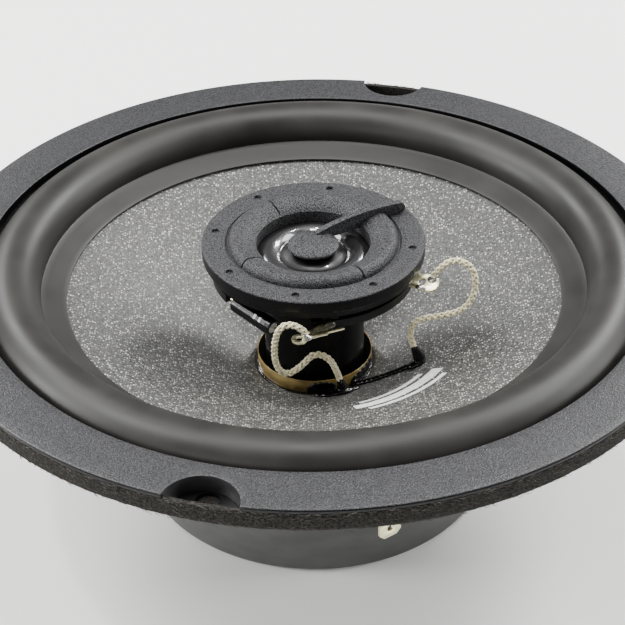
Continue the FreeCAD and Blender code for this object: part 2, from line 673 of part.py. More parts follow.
def make_tabs():
    """Solder tabs, with a lump of solder on each where a lead starts."""
    right = standing(RIGHT_TAB_DEG)
    blank = box("right_tab_blank", ("right_tab_in_r", "-tab_w / 2", "ring_z"),
                ("right_tab_out_r - right_tab_in_r", "tab_w", "tab_t"), right)
    eye = cylinder("right_tab_eye", "tab_eye_r", "ring_z - 1", "ring_z + 1",
                   standing(0, spot(SIZES["right_tab_eye_r"], RIGHT_TAB_DEG, 0)))
    node("tweeter_tab_right", taken_from("right_tab_cut", blank, eye))
    left = standing(LEFT_TAB_DEG, FreeCAD.Vector(*LEFT_TAB_ROOT))
    node("tweeter_tab_left", box("left_tab_strip", ("0", "-strip_w / 2", "ring_low_z - fit_gap - tab_t"),
                                 ("strip_l", "strip_w", "tab_t"), left))
    lumps = []
    for name, route, low in (("left", LEFT_LEAD, "ring_low_z - fit_gap"),
                             ("right", RIGHT_LEAD, "ring_z + tab_t")):
        start = route[0]
        place = standing(0, FreeCAD.Vector(start[0], start[1], 0))
        lumps.append(cylinder(name + "_solder", "solder_r", low, "%g - solder_gap" % start[2], place))
    grouped("solder_joints", lumps)


def make_capacitor():
    """A small axial capacitor hung under the tweeter, in the gap of the housing's ring."""
    lying = FreeCAD.Placement(
        FreeCAD.Vector(*CAPACITOR_AT),
        FreeCAD.Rotation(FreeCAD.Vector(0, 0, 1), CAPACITOR_DEG)
        .multiply(FreeCAD.Rotation(FreeCAD.Vector(0, 1, 0), 90 + CAPACITOR_DIP_DEG)))
    turned("capacitor", [
        ("0", "-can_l / 2"),
        ("can_r - can_edge", "-can_l / 2"),
        ("can_r", "can_edge - can_l / 2"),
        ("can_r", "can_l / 2 - can_edge"),
        ("can_r - can_edge", "can_l / 2"),
        ("0", "can_l / 2"),
    ], place=lying)
    wires = [cylinder("wire_near", "wire_r", "can_l / 2", "can_l / 2 + wire_l", lying),
             cylinder("wire_far", "wire_r", "-can_l / 2 - wire_l", "-can_l / 2", lying)]
    grouped("capacitor_leads", wires)


# ---------------------------------------------------------------- terminals

def under_wall(radius):
    """The height of the basket's sloping wall, on its rear side, at a radius."""
    return ("shelf_z - steel_t + ((%s) - shelf_r - steel_t / 3)"
            " * (wall_z + steel_t / 2 - shelf_z) / (spigot_r - shelf_r - steel_t / 3)" % radius)


def make_terminals():
    board = turned("terminal_board", [
        ("board_in_r", under_wall("board_in_r") + " - fit_gap - board_t"),
        ("board_out_r", under_wall("board_out_r") + " - fit_gap - board_t"),
        ("board_out_r", under_wall("board_out_r") + " - fit_gap"),
        ("board_in_r", under_wall("board_in_r") + " - fit_gap"),
    ], BOARD_SWEEP_DEG, standing(BOARD_DEG))
    doc.getObject("terminal_board_turn").Midplane = True
    doc.recompute()
    for index, degrees in enumerate(TERMINAL_RIVET_DEGS):
        hole_pattern(board, "pin_hole_%d" % index, "pin_r + fit_gap", "pin_seat_r",
                     degrees - BOARD_DEG, 1)
    blades = (("terminal_positive", BLADE_AT, "blade_w", "blade_low_z", "blade_top_z"),
              ("terminal_negative", SHORT_BLADE_AT, "short_blade_w", "short_blade_low_z",
               "short_blade_top_z"))
    for label, foot, width, low, top in blades:
        blade = doc.addObject("PartDesign::Body", label + "_blank")
        sketch = sketch_on(blade, label + "_outline", "XZ_Plane")
        edge = "(%s) / 2" % width
        draw(sketch, [
            ("-" + edge, top),
            ("-" + edge, "%s + blade_edge" % low),
            ("blade_edge - " + edge, low),
            (edge + " - blade_edge", low),
            (edge, "%s + blade_edge" % low),
            (edge, top),
        ])
        round_hole(sketch, "0", "%s + 2.6" % low, "blade_hole_r")
        pad = blade.newObject("PartDesign::Pad", label + "_pad")
        pad.Profile = sketch
        pad.Midplane = True
        pad.setExpression("Length", bound("blade_t"))
        sketch.Visibility = False
        blade.Placement = standing(BLADE_DEG, FreeCAD.Vector(*foot))
        node(label, taken_from(label + "_cut", blade, board))
    rivets = []
    for index, degrees in enumerate(TERMINAL_RIVET_DEGS):
        place = standing(0, spot(SIZES["pin_seat_r"], degrees, 0))
        seat = under_wall("pin_seat_r")
        low = seat + " - board_t - pin_head_r"
        high = seat + " + steel_t + pin_head_r"
        shank = cylinder("pin_%d" % index, "pin_r", low, high, place)
        foot = cylinder("pin_foot_%d" % index, "pin_head_r", low + " - pin_head_t", low, place)
        head = cylinder("pin_head_%d" % index, "pin_head_r", high, high + " + pin_head_t", place)
        rivets.append(joined("terminal_rivet_%d" % index, [shank, foot, head]))
    grouped("terminal_rivets", rivets)


# ---------------------------------------------------------------- leads and glue

def lead(label, route):
    """A braided lead: a round tube along straight runs joined by tangent arcs."""
    points = [FreeCAD.Vector(*point) for point in route]
    edges = []
    start = points[0]
    radii = []
    for before, corner, after in zip(points, points[1:], points[2:]):
        arriving = (corner - before).normalize()
        leaving = (after - corner).normalize()
        turn = arriving.getAngle(leaving)
        reach = 0.45 * min(before.distanceToPoint(corner), corner.distanceToPoint(after))
        radii.append(reach / math.tan(turn / 2))
        enter = corner - arriving * reach
        leave = corner + leaving * reach
        inward = (leaving - arriving).normalize()
        middle = corner + inward * (radii[-1] / math.cos(turn / 2) - radii[-1])
        edges.append(Part.LineSegment(start, enter).toShape())
        edges.append(Part.Arc(enter, middle, leave).toShape())
        start = leave
    edges.append(Part.LineSegment(start, points[-1]).toShape())
    path = Part.Wire(edges)
    radius = SIZES["lead_d"] / 2
    section = Part.Wire([Part.Circle(points[0], points[1] - points[0], radius).toShape()])
    item = doc.addObject("Part::Feature", label)
    item.Shape = path.makePipeShell([section], True, False)
    expected = math.pi * radius ** 2 * path.Length
    print("%s: length %.1f, radii %s, volume ratio %.4f" % (
        label, path.Length, " ".join("%.1f" % r for r in radii), item.Shape.Volume / expected))
    node(label, item)


def cone_front(radius):
    """The height of the cone's front surface at a radius, from its three-point arc."""
    arc = Part.Arc(*[FreeCAD.Vector(value(across), 0, value(up)) for across, up in (
        ("former_r", "neck_z"), ("cone_mid_r", "cone_mid_z"), ("cone_r", "cone_z"))])
    axis = Part.Line(FreeCAD.Vector(radius, 0, -100), FreeCAD.Vector(radius, 0, 100))
    crossings = arc.intersect(axis)
    return crossings[0].Z


def on_cone(at_x, at_y, drop=0.0):
    """A placement on the cone's front, or a drop behind it, with its Z out of the surface."""
    radius = math.hypot(at_x, at_y)
    slope = math.degrees(math.atan2(cone_front(radius + 0.5) - cone_front(radius - 0.5), 1.0))
    turn = math.degrees(math.atan2(at_y, at_x))
    rotation = FreeCAD.Rotation(FreeCAD.Vector(0, 0, 1), turn).multiply(
        FreeCAD.Rotation(FreeCAD.Vector(0, 1, 0), -slope))
    return FreeCAD.Placement(FreeCAD.Vector(at_x, at_y, cone_front(radius) - drop), rotation)


def lump(name, place, low_r, high_r, height):
    item = doc.addObject("Part::Cone", name)
    item.setExpression("Radius1", bound(low_r))
    item.setExpression("Radius2", bound(high_r))
    item.setExpression("Height", bound(height))
    item.Placement = place
    return item


def make_glue():
    """Black adhesive at the feet of the leads, in front of the cone and behind it."""
    feet = []
    for name, route in (("left", LEFT_LEAD), ("right", RIGHT_LEAD)):
        end = route[-1]
        place = on_cone(end[0], end[1]).multiply(
            FreeCAD.Placement(FreeCAD.Vector(0, 0, value("glue_lift")), FreeCAD.Rotation()))
        feet.append(lump(name + "_foot", place, "glue_r", "glue_top_r", "glue_h"))
    grouped("lead_glue", feet)
    rear = []
    for name, route in (("positive", POSITIVE_LEAD), ("negative", NEGATIVE_LEAD)):
        end = route[-1]
        drop = value("cone_t") * 1.15 + value("rear_glue_h") * 1.1
        rear.append(lump(name + "_foot", on_cone(end[0], end[1], drop), "glue_top_r", "glue_r",
                         "rear_glue_h"))
    grouped("rear_lead_glue", rear)


def make_leads():
    lead("tweeter_lead_left", LEFT_LEAD)
    lead("tweeter_lead_right", RIGHT_LEAD)
    lead("woofer_lead_positive", POSITIVE_LEAD)
    lead("woofer_lead_negative", NEGATIVE_LEAD)


make_basket()
make_trim_ring()
make_edge_gasket()
make_surround()
make_cone_and_coil()
make_spider()
make_motor()
make_post()
make_tweeter_housing()
make_tweeter_motor()
make_dome_guard(make_tweeter_face())
make_tabs()
make_capacitor()
make_terminals()
make_glue()
make_leads()
doc.recompute()

for item in doc.Objects:
    if "Invalid" in item.State or "Error" in item.State:
        raise RuntimeError("%s is %s" % (item.Name, item.State))

os.makedirs("parts", exist_ok=True)
for label, item in NODES.items():
    shape = item.Shape
    if shape.isNull() or not shape.isValid():
        raise RuntimeError(label + " has no valid shape")
    shape.exportStep("parts/%s.step" % label)
    print("%-22s solids %d  volume %10.2f" % (label, len(shape.Solids), shape.Volume))
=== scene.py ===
from math import atan, atan2, copysign, cos, degrees, hypot, pi, radians, sin, sqrt, tan
import random
import bpy
import numpy as np
from mathutils import Matrix, Vector


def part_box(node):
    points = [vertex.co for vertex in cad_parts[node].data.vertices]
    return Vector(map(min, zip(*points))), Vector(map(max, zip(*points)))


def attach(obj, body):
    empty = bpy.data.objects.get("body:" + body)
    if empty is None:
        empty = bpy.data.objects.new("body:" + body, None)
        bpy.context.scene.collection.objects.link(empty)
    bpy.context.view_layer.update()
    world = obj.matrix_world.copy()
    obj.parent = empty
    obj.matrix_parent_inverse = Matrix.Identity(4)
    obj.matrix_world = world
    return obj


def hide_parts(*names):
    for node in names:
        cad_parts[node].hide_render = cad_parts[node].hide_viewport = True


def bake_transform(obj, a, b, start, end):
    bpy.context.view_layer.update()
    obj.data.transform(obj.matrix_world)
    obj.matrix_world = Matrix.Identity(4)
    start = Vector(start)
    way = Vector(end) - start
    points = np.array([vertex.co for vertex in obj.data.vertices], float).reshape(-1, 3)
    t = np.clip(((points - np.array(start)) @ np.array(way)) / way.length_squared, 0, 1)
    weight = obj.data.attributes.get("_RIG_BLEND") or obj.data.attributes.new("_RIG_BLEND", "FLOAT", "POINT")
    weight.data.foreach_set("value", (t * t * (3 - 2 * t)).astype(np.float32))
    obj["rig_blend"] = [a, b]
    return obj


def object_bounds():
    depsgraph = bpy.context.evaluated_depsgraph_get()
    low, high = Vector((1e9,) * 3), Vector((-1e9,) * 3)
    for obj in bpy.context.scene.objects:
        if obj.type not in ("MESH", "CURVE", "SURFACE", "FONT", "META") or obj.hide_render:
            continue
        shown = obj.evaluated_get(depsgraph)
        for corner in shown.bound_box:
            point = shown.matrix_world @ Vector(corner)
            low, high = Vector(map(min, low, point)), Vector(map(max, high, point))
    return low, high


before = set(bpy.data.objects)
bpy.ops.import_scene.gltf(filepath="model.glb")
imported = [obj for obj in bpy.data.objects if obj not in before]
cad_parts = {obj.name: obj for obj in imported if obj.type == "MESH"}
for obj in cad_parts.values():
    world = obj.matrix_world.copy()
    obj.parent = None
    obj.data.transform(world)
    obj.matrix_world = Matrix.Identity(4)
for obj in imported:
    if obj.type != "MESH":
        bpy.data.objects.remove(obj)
cad_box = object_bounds()
MM = 0.001

# ---- camera, lights and floor
# A close view from above the front edge. The speaker lies on its back on a pale floor, under a wide
# softbox, with a narrower one on each side and small lamps that the tweeter's glossy film mirrors.
LOOK_DOWN = radians(35.0)
CAMERA_ROLL = radians(0.77)
CAMERA_AT = Vector((-0.387, -310.903, 207.803)) * MM
LENS_MM = 99.05

towards_camera = Vector((0, -cos(LOOK_DOWN), sin(LOOK_DOWN)))
level_up = Vector((0, sin(LOOK_DOWN), cos(LOOK_DOWN)))
level_right = Vector((1, 0, 0))
view_right = level_right * cos(CAMERA_ROLL) - level_up * sin(CAMERA_ROLL)
view_up = level_right * sin(CAMERA_ROLL) + level_up * cos(CAMERA_ROLL)
bpy.ops.object.camera_add(location=CAMERA_AT)
camera = bpy.context.object
camera.rotation_euler = Matrix((view_right, view_up, towards_camera)).transposed().to_euler()
camera.data.lens = LENS_MM
camera.data.sensor_width = 36.0
bpy.context.scene.camera = camera

# Square area lights that face the speaker: name, place and size in metres, how bright the face looks.
for name, place, size, glow in (
        ("top_softbox", (0, 0, 0.95), 0.12, 74.0),
        ("left_high_softbox", (-0.6, 0.1, 0.7), 0.4, 14.0),
        ("right_high_softbox", (0.6, 0.2, 0.7), 0.4, 14.0),
        ("left_low_softbox", (-0.85, 0, 0.3), 0.3, 26.0),
        ("right_low_softbox", (0.85, 0.1, 0.3), 0.3, 15.0),
        ("left_rear_softbox", (-0.5, 0.6, 0.5), 0.18, 47.0),
        ("right_rear_softbox", (0.5, 0.6, 0.5), 0.2, 54.0),
        ("front_softbox", (-0.5, -0.8, 0.35), 0.4, 5.0),
        ("left_lamp", (-0.42, 0.02, 0.8), 0.05, 300.0),
        ("middle_lamp", (-0.07, 0.19, 0.9), 0.045, 350.0),
        ("right_lamp", (0.24, 0.38, 0.88), 0.045, 350.0)):
    bpy.ops.object.light_add(type="AREA", location=place)
    lamp = bpy.context.object
    lamp.name = name
    lamp.rotation_euler = (-Vector(place)).to_track_quat("-Z", "Y").to_euler()
    lamp.data.size = size
    lamp.data.energy = glow * pi * size ** 2

ROOM_GLOW = 0.36
world = bpy.data.worlds.new("studio_room")
bpy.context.scene.world = world
world.use_nodes = True
backdrop = world.node_tree.nodes["Background"].inputs
backdrop["Color"].default_value = (1, 1, 1, 1)
backdrop["Strength"].default_value = ROOM_GLOW


def linear(shade):
    """An sRGB hex colour as the linear colour that a shader reads."""
    channels = [int(shade[start:start + 2], 16) / 255 for start in (1, 3, 5)]
    return tuple(c / 12.92 if c <= 0.04045 else ((c + 0.055) / 1.055) ** 2.4
                 for c in channels) + (1.0,)


def finish_named(name, shade, roughness, **sockets):
    """Starts a material: its colour, its roughness and any other socket of its shader."""
    material = bpy.data.materials.new(name)
    material.use_nodes = True
    shader = material.node_tree.nodes["Principled BSDF"]
    shader.inputs["Base Color"].default_value = linear(shade)
    shader.inputs["Roughness"].default_value = roughness
    for socket, setting in sockets.items():
        shader.inputs[socket.replace("_", " ")].default_value = setting
    return material


def add(material, kind, sets=None, links=None, **settings):
    """Adds a node to a material, with its values, what feeds it and its own settings."""
    node = material.node_tree.nodes.new("ShaderNode" + kind)
    for key, setting in settings.items():
        setattr(node, key, setting)
    for socket, setting in (sets or {}).items():
        node.inputs[socket].default_value = setting
    for socket, source in (links or {}).items():
        material.node_tree.links.new(source, node.inputs[socket])
    return node


def feed(material, **sources):
    """Links outputs to sockets of a material's shader."""
    shader = material.node_tree.nodes["Principled BSDF"]
    for socket, source in sources.items():
        material.node_tree.links.new(source, shader.inputs[socket.replace("_", " ")])


def grained(material, size, height, low=None, high=None, rough=None, detail=2.0, stretch=(1, 1, 1),
            contrast=0.2):
    """Covers a material with grain of a size and a height in millimetres: bumps, and where they are
    given, shades from low to high and roughness from the first to the second of a pair."""
    places = add(material, "TexCoord").outputs["Object"]
    stretched = add(material, "Mapping", {"Scale": stretch}, {"Vector": places}).outputs["Vector"]
    noise = add(material, "TexNoise", {"Scale": 1 / (size * MM), "Detail": detail},
                {"Vector": stretched}).outputs["Fac"]
    bump = add(material, "Bump", {"Distance": height * MM}, {"Height": noise})
    feed(material, Normal=bump.outputs["Normal"])
    spread = add(material, "MapRange", {"From Min": 0.5 - contrast, "From Max": 0.5 + contrast},
                 {"Value": noise}).outputs["Result"]
    if low:
        tones = add(material, "Mix", {6: linear(low), 7: linear(high)}, {0: spread}, data_type="RGBA")
        feed(material, Base_Color=tones.outputs[2])
    if rough:
        gloss = add(material, "MapRange", {"To Min": rough[0], "To Max": rough[1]}, {"Value": spread})
        feed(material, Roughness=gloss.outputs["Result"])
    return spread


bpy.ops.mesh.primitive_plane_add(size=8, location=(0, 0, cad_box[0][2]))
floor = bpy.context.object
floor.name = "floor"
# Paper: an even white that keeps the speaker's shadow soft.
paper = finish_named("matt_white_paper", "#F6F6F4", 0.9)
grained(paper, 3.0, 0.01)
floor.data.materials.append(paper)

# ---- basket
# Pressed steel, powder coated gloss black. The coat flows out with a faint orange peel, so it mirrors
# lamps with soft wavy edges.


def coat(material, *labels):
    """Gives CAD nodes a material."""
    for label in labels:
        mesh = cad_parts[label].data
        mesh.materials.clear()
        mesh.materials.append(material)


# Powder coat: black, wet looking, and wavy where a lamp is mirrored.
powder_coat = finish_named("gloss_black_powder_coated_steel", "#0C0C0D", 0.2, Coat_Weight=0.6,
                           Coat_Roughness=0.08)
grained(powder_coat, 1.8, 0.05, detail=1.0)
coat(powder_coat, "basket")

# ---- terminals
# Brown phenolic board under the basket's spoke, held by two zinc plated steel rivets that also take the
# leads. Its tin plated blades are modelled with the solder tabs, which are stamped in the same way.

# Phenolic board: dull brown, with the paper's fibres as faint stripes.
phenolic = finish_named("phenolic_paper_board", "#3A2214", 0.45)
grained(phenolic, 0.5, 0.02, "#2C180D", "#4A2D1B", detail=3.0, stretch=(1, 1, 4))
coat(phenolic, "terminal_board")

# Tin: pale, faintly yellow and soft in its shine, dulled in patches.
tin = finish_named("tin_plated_brass", "#EDE6C0", 0.36, Metallic=1.0)
grained(tin, 0.6, 0.012, "#DDD5A8", "#F6F0CE", (0.3, 0.44), 3.0)
coat(tin, "capacitor_leads")

# Zinc: cool grey, with the cloudy shine of plating.
zinc = finish_named("zinc_plated_steel", "#B9BAB6", 0.32, Metallic=1.0)
grained(zinc, 0.8, 0.01, "#A2A4A0", "#C9CAC4", (0.25, 0.42), 3.0)
coat(zinc, "terminal_rivets")

# ---- edge gasket
# A strip of grey felted foam, glued under the flange and up round its edge. It is cut from a sheet,
# so fibres stand out all round it, and most of them along its top and bottom edges.


def arc(centre, radius, start, end, count):
    """Points of an outline along an arc; angles are in degrees from outwards."""
    return [(centre[0] + radius * cos(radians(angle)),
             centre[1] + radius * sin(radians(angle)))
            for angle in np.linspace(start, end, count)]


def rounded(corner, radius, start, count=5):
    """A quarter arc that rounds a corner; the corner is given, and the arc's first angle."""
    middle = radians(start + 45)
    centre = (corner[0] - radius * copysign(1, cos(middle)),
              corner[1] - radius * copysign(1, sin(middle)))
    return arc(centre, radius, start, start + 90, count)


def drawn(name, points, closed=True):
    """Draws an outline through points in millimetres, and stays in edit mode."""
    bpy.ops.object.select_all(action="DESELECT")
    bpy.ops.mesh.primitive_plane_add(size=MM, location=[along * MM for along in points[0]])
    piece = bpy.context.object
    piece.name = piece.data.name = name
    bpy.ops.object.mode_set(mode="EDIT")
    bpy.ops.mesh.merge(type="CENTER")
    for before, after in zip(points, points[1:] + (points[:1] if closed else [])):
        step = [(there - here) * MM for here, there in zip(before, after)]
        bpy.ops.mesh.extrude_region_move(TRANSFORM_OT_translate={"value": step})
    bpy.ops.mesh.select_all(action="SELECT")
    bpy.ops.mesh.remove_doubles(threshold=MM / 1000)
    return piece


def turned(name, outline, steps, closed=True):
    """Spins an outline of radii and heights in millimetres round the axis."""
    piece = drawn(name, [(radius, 0, height) for radius, height in outline], closed)
    bpy.ops.mesh.spin(steps=steps, angle=2 * pi, center=(0, 0, 0), axis=(0, 0, 1))
    bpy.ops.mesh.select_all(action="SELECT")
    bpy.ops.mesh.remove_doubles(threshold=MM / 1000)
    bpy.ops.mesh.normals_make_consistent(inside=False)
    bpy.ops.object.mode_set(mode="OBJECT")
    bpy.ops.object.transform_apply()
    return piece


def picked(*pieces):
    """Selects these pieces alone and makes the first one active."""
    bpy.ops.object.select_all(action="DESELECT")
    for piece in pieces:
        piece.select_set(True)
    bpy.context.view_layer.objects.active = pieces[0]


def smooth(piece, sharp_deg=35):
    """Shades a piece smooth, but for edges sharper than an angle."""
    picked(piece)
    bpy.ops.object.shade_smooth_by_angle(angle=radians(sharp_deg))


def modified(piece, kind, **settings):
    """Adds a modifier to a piece and applies it."""
    modifier = piece.modifiers.new(kind.lower(), kind)
    for key, setting in settings.items():
        setattr(modifier, key, setting)
    bpy.context.view_layer.objects.active = piece
    bpy.ops.object.modifier_apply(modifier=modifier.name)


def roughened(piece, size, height):
    """Moves a fine mesh in and out by cloudy bumps, in millimetres."""
    clouds = bpy.data.textures.new(piece.name + "_clouds", "CLOUDS")
    clouds.noise_scale = size * MM
    clouds.noise_depth = 2
    modified(piece, "DISPLACE", texture=clouds, texture_coords="LOCAL", strength=height * MM,
             mid_level=0.5)


def finished(piece, material, body, slot, *labels):
    """Gives a new piece its material and its body, and hides the CAD nodes it stands for."""
    if material:
        piece.data.materials.clear()
        piece.data.materials.append(material)
    if body:
        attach(piece, body)
    if labels:
        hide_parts(*labels)


GASKET_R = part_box("edge_gasket")[1].x / MM
GASKET_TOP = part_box("edge_gasket")[1].z / MM
FLANGE_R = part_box("basket")[1].x / MM
FLANGE_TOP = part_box("basket")[1].z / MM
FLANGE_T = 0.8
FLANGE_LOW = FLANGE_TOP - FLANGE_T
GASKET_IN_R = 72.6

felt_outline = [(GASKET_IN_R, FLANGE_LOW - 0.04), (GASKET_IN_R, 0.1)]
felt_outline += [(radius, 0.04) for radius in np.arange(GASKET_IN_R + 1.0, GASKET_R - 1.4, 1.0)]
felt_outline += arc((GASKET_R - 1.35, 1.35), 1.3, -90, 0, 7)
felt_outline += [(GASKET_R - 0.05, height) for height in np.arange(1.7, GASKET_TOP - 0.5, 0.35)]
felt_outline += arc((GASKET_R - 0.5, GASKET_TOP - 0.4), 0.4, 0, 90, 4)
felt_outline += [(FLANGE_R + 0.1, GASKET_TOP - 0.1), (FLANGE_R + 0.1, FLANGE_LOW - 0.04)]
felt = turned("edge_felt", felt_outline, 900)
roughened(felt, 0.9, 0.22)
smooth(felt, 60)

# Felt: near black with grey specks and no shine. The specks are drawn coarser than real fibres.
felt_foam = finish_named("grey_felted_foam", "#1B1917", 1.0, Specular_IOR_Level=0.2)
grained(felt_foam, 0.4, 0.15, "#090908", "#302E2B", detail=4.0, contrast=0.16)
finished(felt, felt_foam, "frame", "grey_felt_foam", "edge_gasket")

FIBRE_COUNT = 5200
FIBRE_R = 0.035
HOLE_FUZZ_COUNT = 60
NOTCH_DEG = 75.3
SCREW_CIRCLE_R = 78.0
SCREW_HOLE_R = 2.4
draw = random.Random(7)


def fibre_bundle(name, paths, radius):
    """Many thin fibres as one mesh, each through its points in metres."""
    bundle = bpy.data.curves.new(name, "CURVE")
    bundle.dimensions = "3D"
    bundle.bevel_depth = radius * MM
    bundle.bevel_resolution = 0
    for path in paths:
        fibre_line = bundle.splines.new("POLY")
        fibre_line.points.add(len(path) - 1)
        for point, place in zip(fibre_line.points, path):
            point.co = (*place, 1)
    piece = bpy.data.objects.new(name, bundle)
    bpy.context.scene.collection.objects.link(piece)
    picked(piece)
    bpy.ops.object.convert(target="MESH")
    return bpy.context.object


def edge_fibre():
    """A fibre on the gasket's outside: it leaves the felt, bows out and comes back or stands off."""
    where = draw.random()
    if where < 0.42:
        radius, height = GASKET_R - draw.uniform(0.0, 0.9), GASKET_TOP - draw.uniform(0.0, 0.12)
    elif where < 0.62:
        radius, height = GASKET_R - draw.uniform(0.3, 1.2), draw.uniform(0.05, 0.5)
    else:
        radius, height = GASKET_R - 0.05, draw.uniform(0.9, GASKET_TOP - 0.1)
    azimuth = draw.uniform(0, 2 * pi)
    reach = draw.uniform(0.35, 1.1) / GASKET_R
    rise = draw.uniform(-0.35, 0.35)
    bow = draw.uniform(0.04, 0.3)
    stand_off = draw.uniform(-0.05, 0.25)
    points = []
    for share, out, up in ((0, -0.08, 0), (0.5, bow, rise * 0.7), (1, stand_off, rise)):
        angle = azimuth + reach * share
        upward = up + (0.1 if where < 0.42 and share == 0.5 else 0)
        points.append(((radius + out) * MM * cos(angle), (radius + out) * MM * sin(angle),
                       max(0.0, height + upward) * MM))
    return points


def hole_fibre(azimuth):
    """A fibre of the punched edge under a screw hole, reaching in across it."""
    centre = Vector((SCREW_CIRCLE_R * cos(azimuth), SCREW_CIRCLE_R * sin(azimuth), 0))
    start = draw.uniform(0, 2 * pi)
    end = start + pi + draw.uniform(-1.4, 1.4)
    reach = draw.uniform(0.2, 0.95)
    height = draw.uniform(0.15, 0.65)
    first = Vector((cos(start), sin(start), 0)) * SCREW_HOLE_R
    last = Vector((cos(end), sin(end), 0)) * SCREW_HOLE_R * reach
    middle = (first + last) / 2 + Vector((0, 0, draw.uniform(-0.2, 0.3)))
    return [tuple((centre + point + Vector((0, 0, height))) * MM) for point in (first, middle, last)]


strays = [edge_fibre() for _ in range(FIBRE_COUNT)]
for corner in range(4):
    notch_angle = radians(NOTCH_DEG + 90 * corner)
    strays += [hole_fibre(notch_angle) for _ in range(HOLE_FUZZ_COUNT)]
fuzz = fibre_bundle("edge_felt_fibres", strays, FIBRE_R)
# Loose fibres: dull greys that read as fluff against the floor.
loose_fibre = finish_named("loose_felt_fibre", "#3B3733", 0.9)
grained(loose_fibre, 2.0, 0.01, "#1E1C1A", "#5C5750")
finished(fuzz, loose_fibre, "frame", "grey_felt_foam")

# ---- trim ring
# Injection moulded ABS with a spark eroded face: a fine, even, matt grain that glitters a little. Its
# outside has four half round notches, smooth walled, for the mounting screws.
TRIM_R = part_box("trim_ring")[1].x / MM
TRIM_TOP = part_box("trim_ring")[1].z / MM
TRIM_IN_R = 71.8
TRIM_EDGE = 0.55
TRIM_INNER_EDGE = 0.3
NOTCH_R = 7.4
NOTCH_CIRCLE_R = 82.7
TRIM_FOOT_R = 74.3
TRIM_LOW = 2.3
UPRIGHT = 0.7

trim_outline = [(TRIM_IN_R, TRIM_LOW)]
trim_outline += arc((TRIM_IN_R + TRIM_INNER_EDGE, TRIM_TOP - TRIM_INNER_EDGE), TRIM_INNER_EDGE,
                    180, 90, 5)
trim_outline += [(radius, TRIM_TOP) for radius in (74.5, 77.0, 79.5)]
trim_outline += arc((TRIM_R - TRIM_EDGE, TRIM_TOP - TRIM_EDGE), TRIM_EDGE, 90, 0, 7)
trim_outline += [(TRIM_R, GASKET_TOP), (FLANGE_R, GASKET_TOP), (FLANGE_R, FLANGE_TOP),
                 (TRIM_FOOT_R, FLANGE_TOP), (TRIM_FOOT_R, TRIM_LOW)]
trim = turned("trim_moulding", trim_outline, 360)


def cut(piece, cutter, operation="DIFFERENCE", keep=False):
    """Cuts one piece with another, exactly, and deletes the cutter unless it is kept."""
    modified(piece, "BOOLEAN", object=cutter, operation=operation, solver="EXACT")
    if not keep:
        bpy.data.objects.remove(cutter)


def drilled(piece, radius, circle_r, low, high, angles, vertices=64):
    """Cuts round holes into a piece, at angles on a circle; sizes are in millimetres."""
    for angle in angles:
        place = (circle_r * cos(radians(angle)) * MM,
                 circle_r * sin(radians(angle)) * MM, (low + high) / 2 * MM)
        bpy.ops.mesh.primitive_cylinder_add(vertices=vertices, radius=radius * MM,
                                            depth=(high - low) * MM, location=place)
        cut(piece, bpy.context.object)


def bevelled(piece, width, sharp_deg):
    """Rounds edges that are sharper than an angle; the width is in millimetres."""
    modified(piece, "BEVEL", width=width * MM, segments=2, limit_method="ANGLE",
             angle_limit=radians(sharp_deg))


def partly(piece, material, chosen):
    """Gives one more material to the faces of a piece that a test of place and normal chooses."""
    piece.data.materials.append(material)
    for wall in piece.data.polygons:
        if chosen(wall.center, wall.normal):
            wall.material_index = len(piece.data.materials) - 1


drilled(trim, NOTCH_R, NOTCH_CIRCLE_R, FLANGE_TOP - 1, TRIM_TOP + 1,
        [NOTCH_DEG + 90 * corner for corner in range(4)], 96)
bevelled(trim, 0.16, 50)
smooth(trim)

# Grained ABS: dark grey with a fine sparkle; its pale specks are painted glints.
# Real grain is 0.1 mm, too fine to show, so it is coarser.
grained_abs_painted_glints = finish_named("fine_grained_black_abs_painted_glints", "#161617", 0.5, Specular_IOR_Level=0.4)
grained(grained_abs_painted_glints, 0.28, 0.12, "#070708", "#353537", (0.5, 0.32), 1.0, contrast=0.11)
# Smooth ABS: deep black with a soft moulded shine. Its black is darker than the grained ABS's,
# as painted shade on the walls and under the tweeter's face.
smooth_abs_painted_shade = finish_named("smooth_black_abs_painted_shade", "#070708", 0.28, Specular_IOR_Level=0.25)
grained(smooth_abs_painted_shade, 5.0, 0.03, rough=(0.24, 0.36), detail=3.0)
finished(trim, grained_abs_painted_glints, "frame", "textured_black_plastic", "trim_ring")
# The trim's walls take the darker black: painted shade by the roll and down the outside.
partly(trim, smooth_abs_painted_shade, lambda place, facing: facing.z < UPRIGHT)
# Satin ABS: the notches' walls, greyer and duller than the trim's other walls. Their lighter grey
# is painted light where the lamps reach into the notches.
satin_abs_painted_light = finish_named("satin_black_abs_painted_light", "#232324", 0.5)
grained(satin_abs_painted_light, 3.0, 0.03, "#1E1E1F", "#2A2A2B", (0.45, 0.55))
partly(trim, satin_abs_painted_light, lambda place, facing: facing.z < UPRIGHT
       and (TRIM_IN_R + 0.5) * MM < place.xy.length < (TRIM_R - 0.5) * MM)

# ---- motor
# Zinc plated top plate and yoke with a sintered ferrite ring between them, held to the basket by four
# rivets. The ferrite is ground, dark and dull, and shows fine grain.
coat(zinc, "top_plate", "yoke", "motor_rivets")
# Ferrite: charcoal, dull and finely speckled.
ferrite = finish_named("ground_ferrite", "#2B2B2D", 0.55)
grained(ferrite, 0.5, 0.02, "#202022", "#38383B", detail=4.0)
coat(ferrite, "ferrite_magnet")

# ---- magnet cover
# A soft rubber boot, moulded in one piece and pulled over the motor, which it hides. It has no
# texture of its own, so its side shows every touch.

# Rubber: soft mid grey with a satin sheen and wide smears where hands have been.
boot = finish_named("satin_moulded_rubber", "#4A4A49", 0.45)
grained(boot, 7.0, 0.05, "#444443", "#50504F", (0.4, 0.5), 5.0, (1, 1, 2.5))
coat(boot, "magnet_cover")

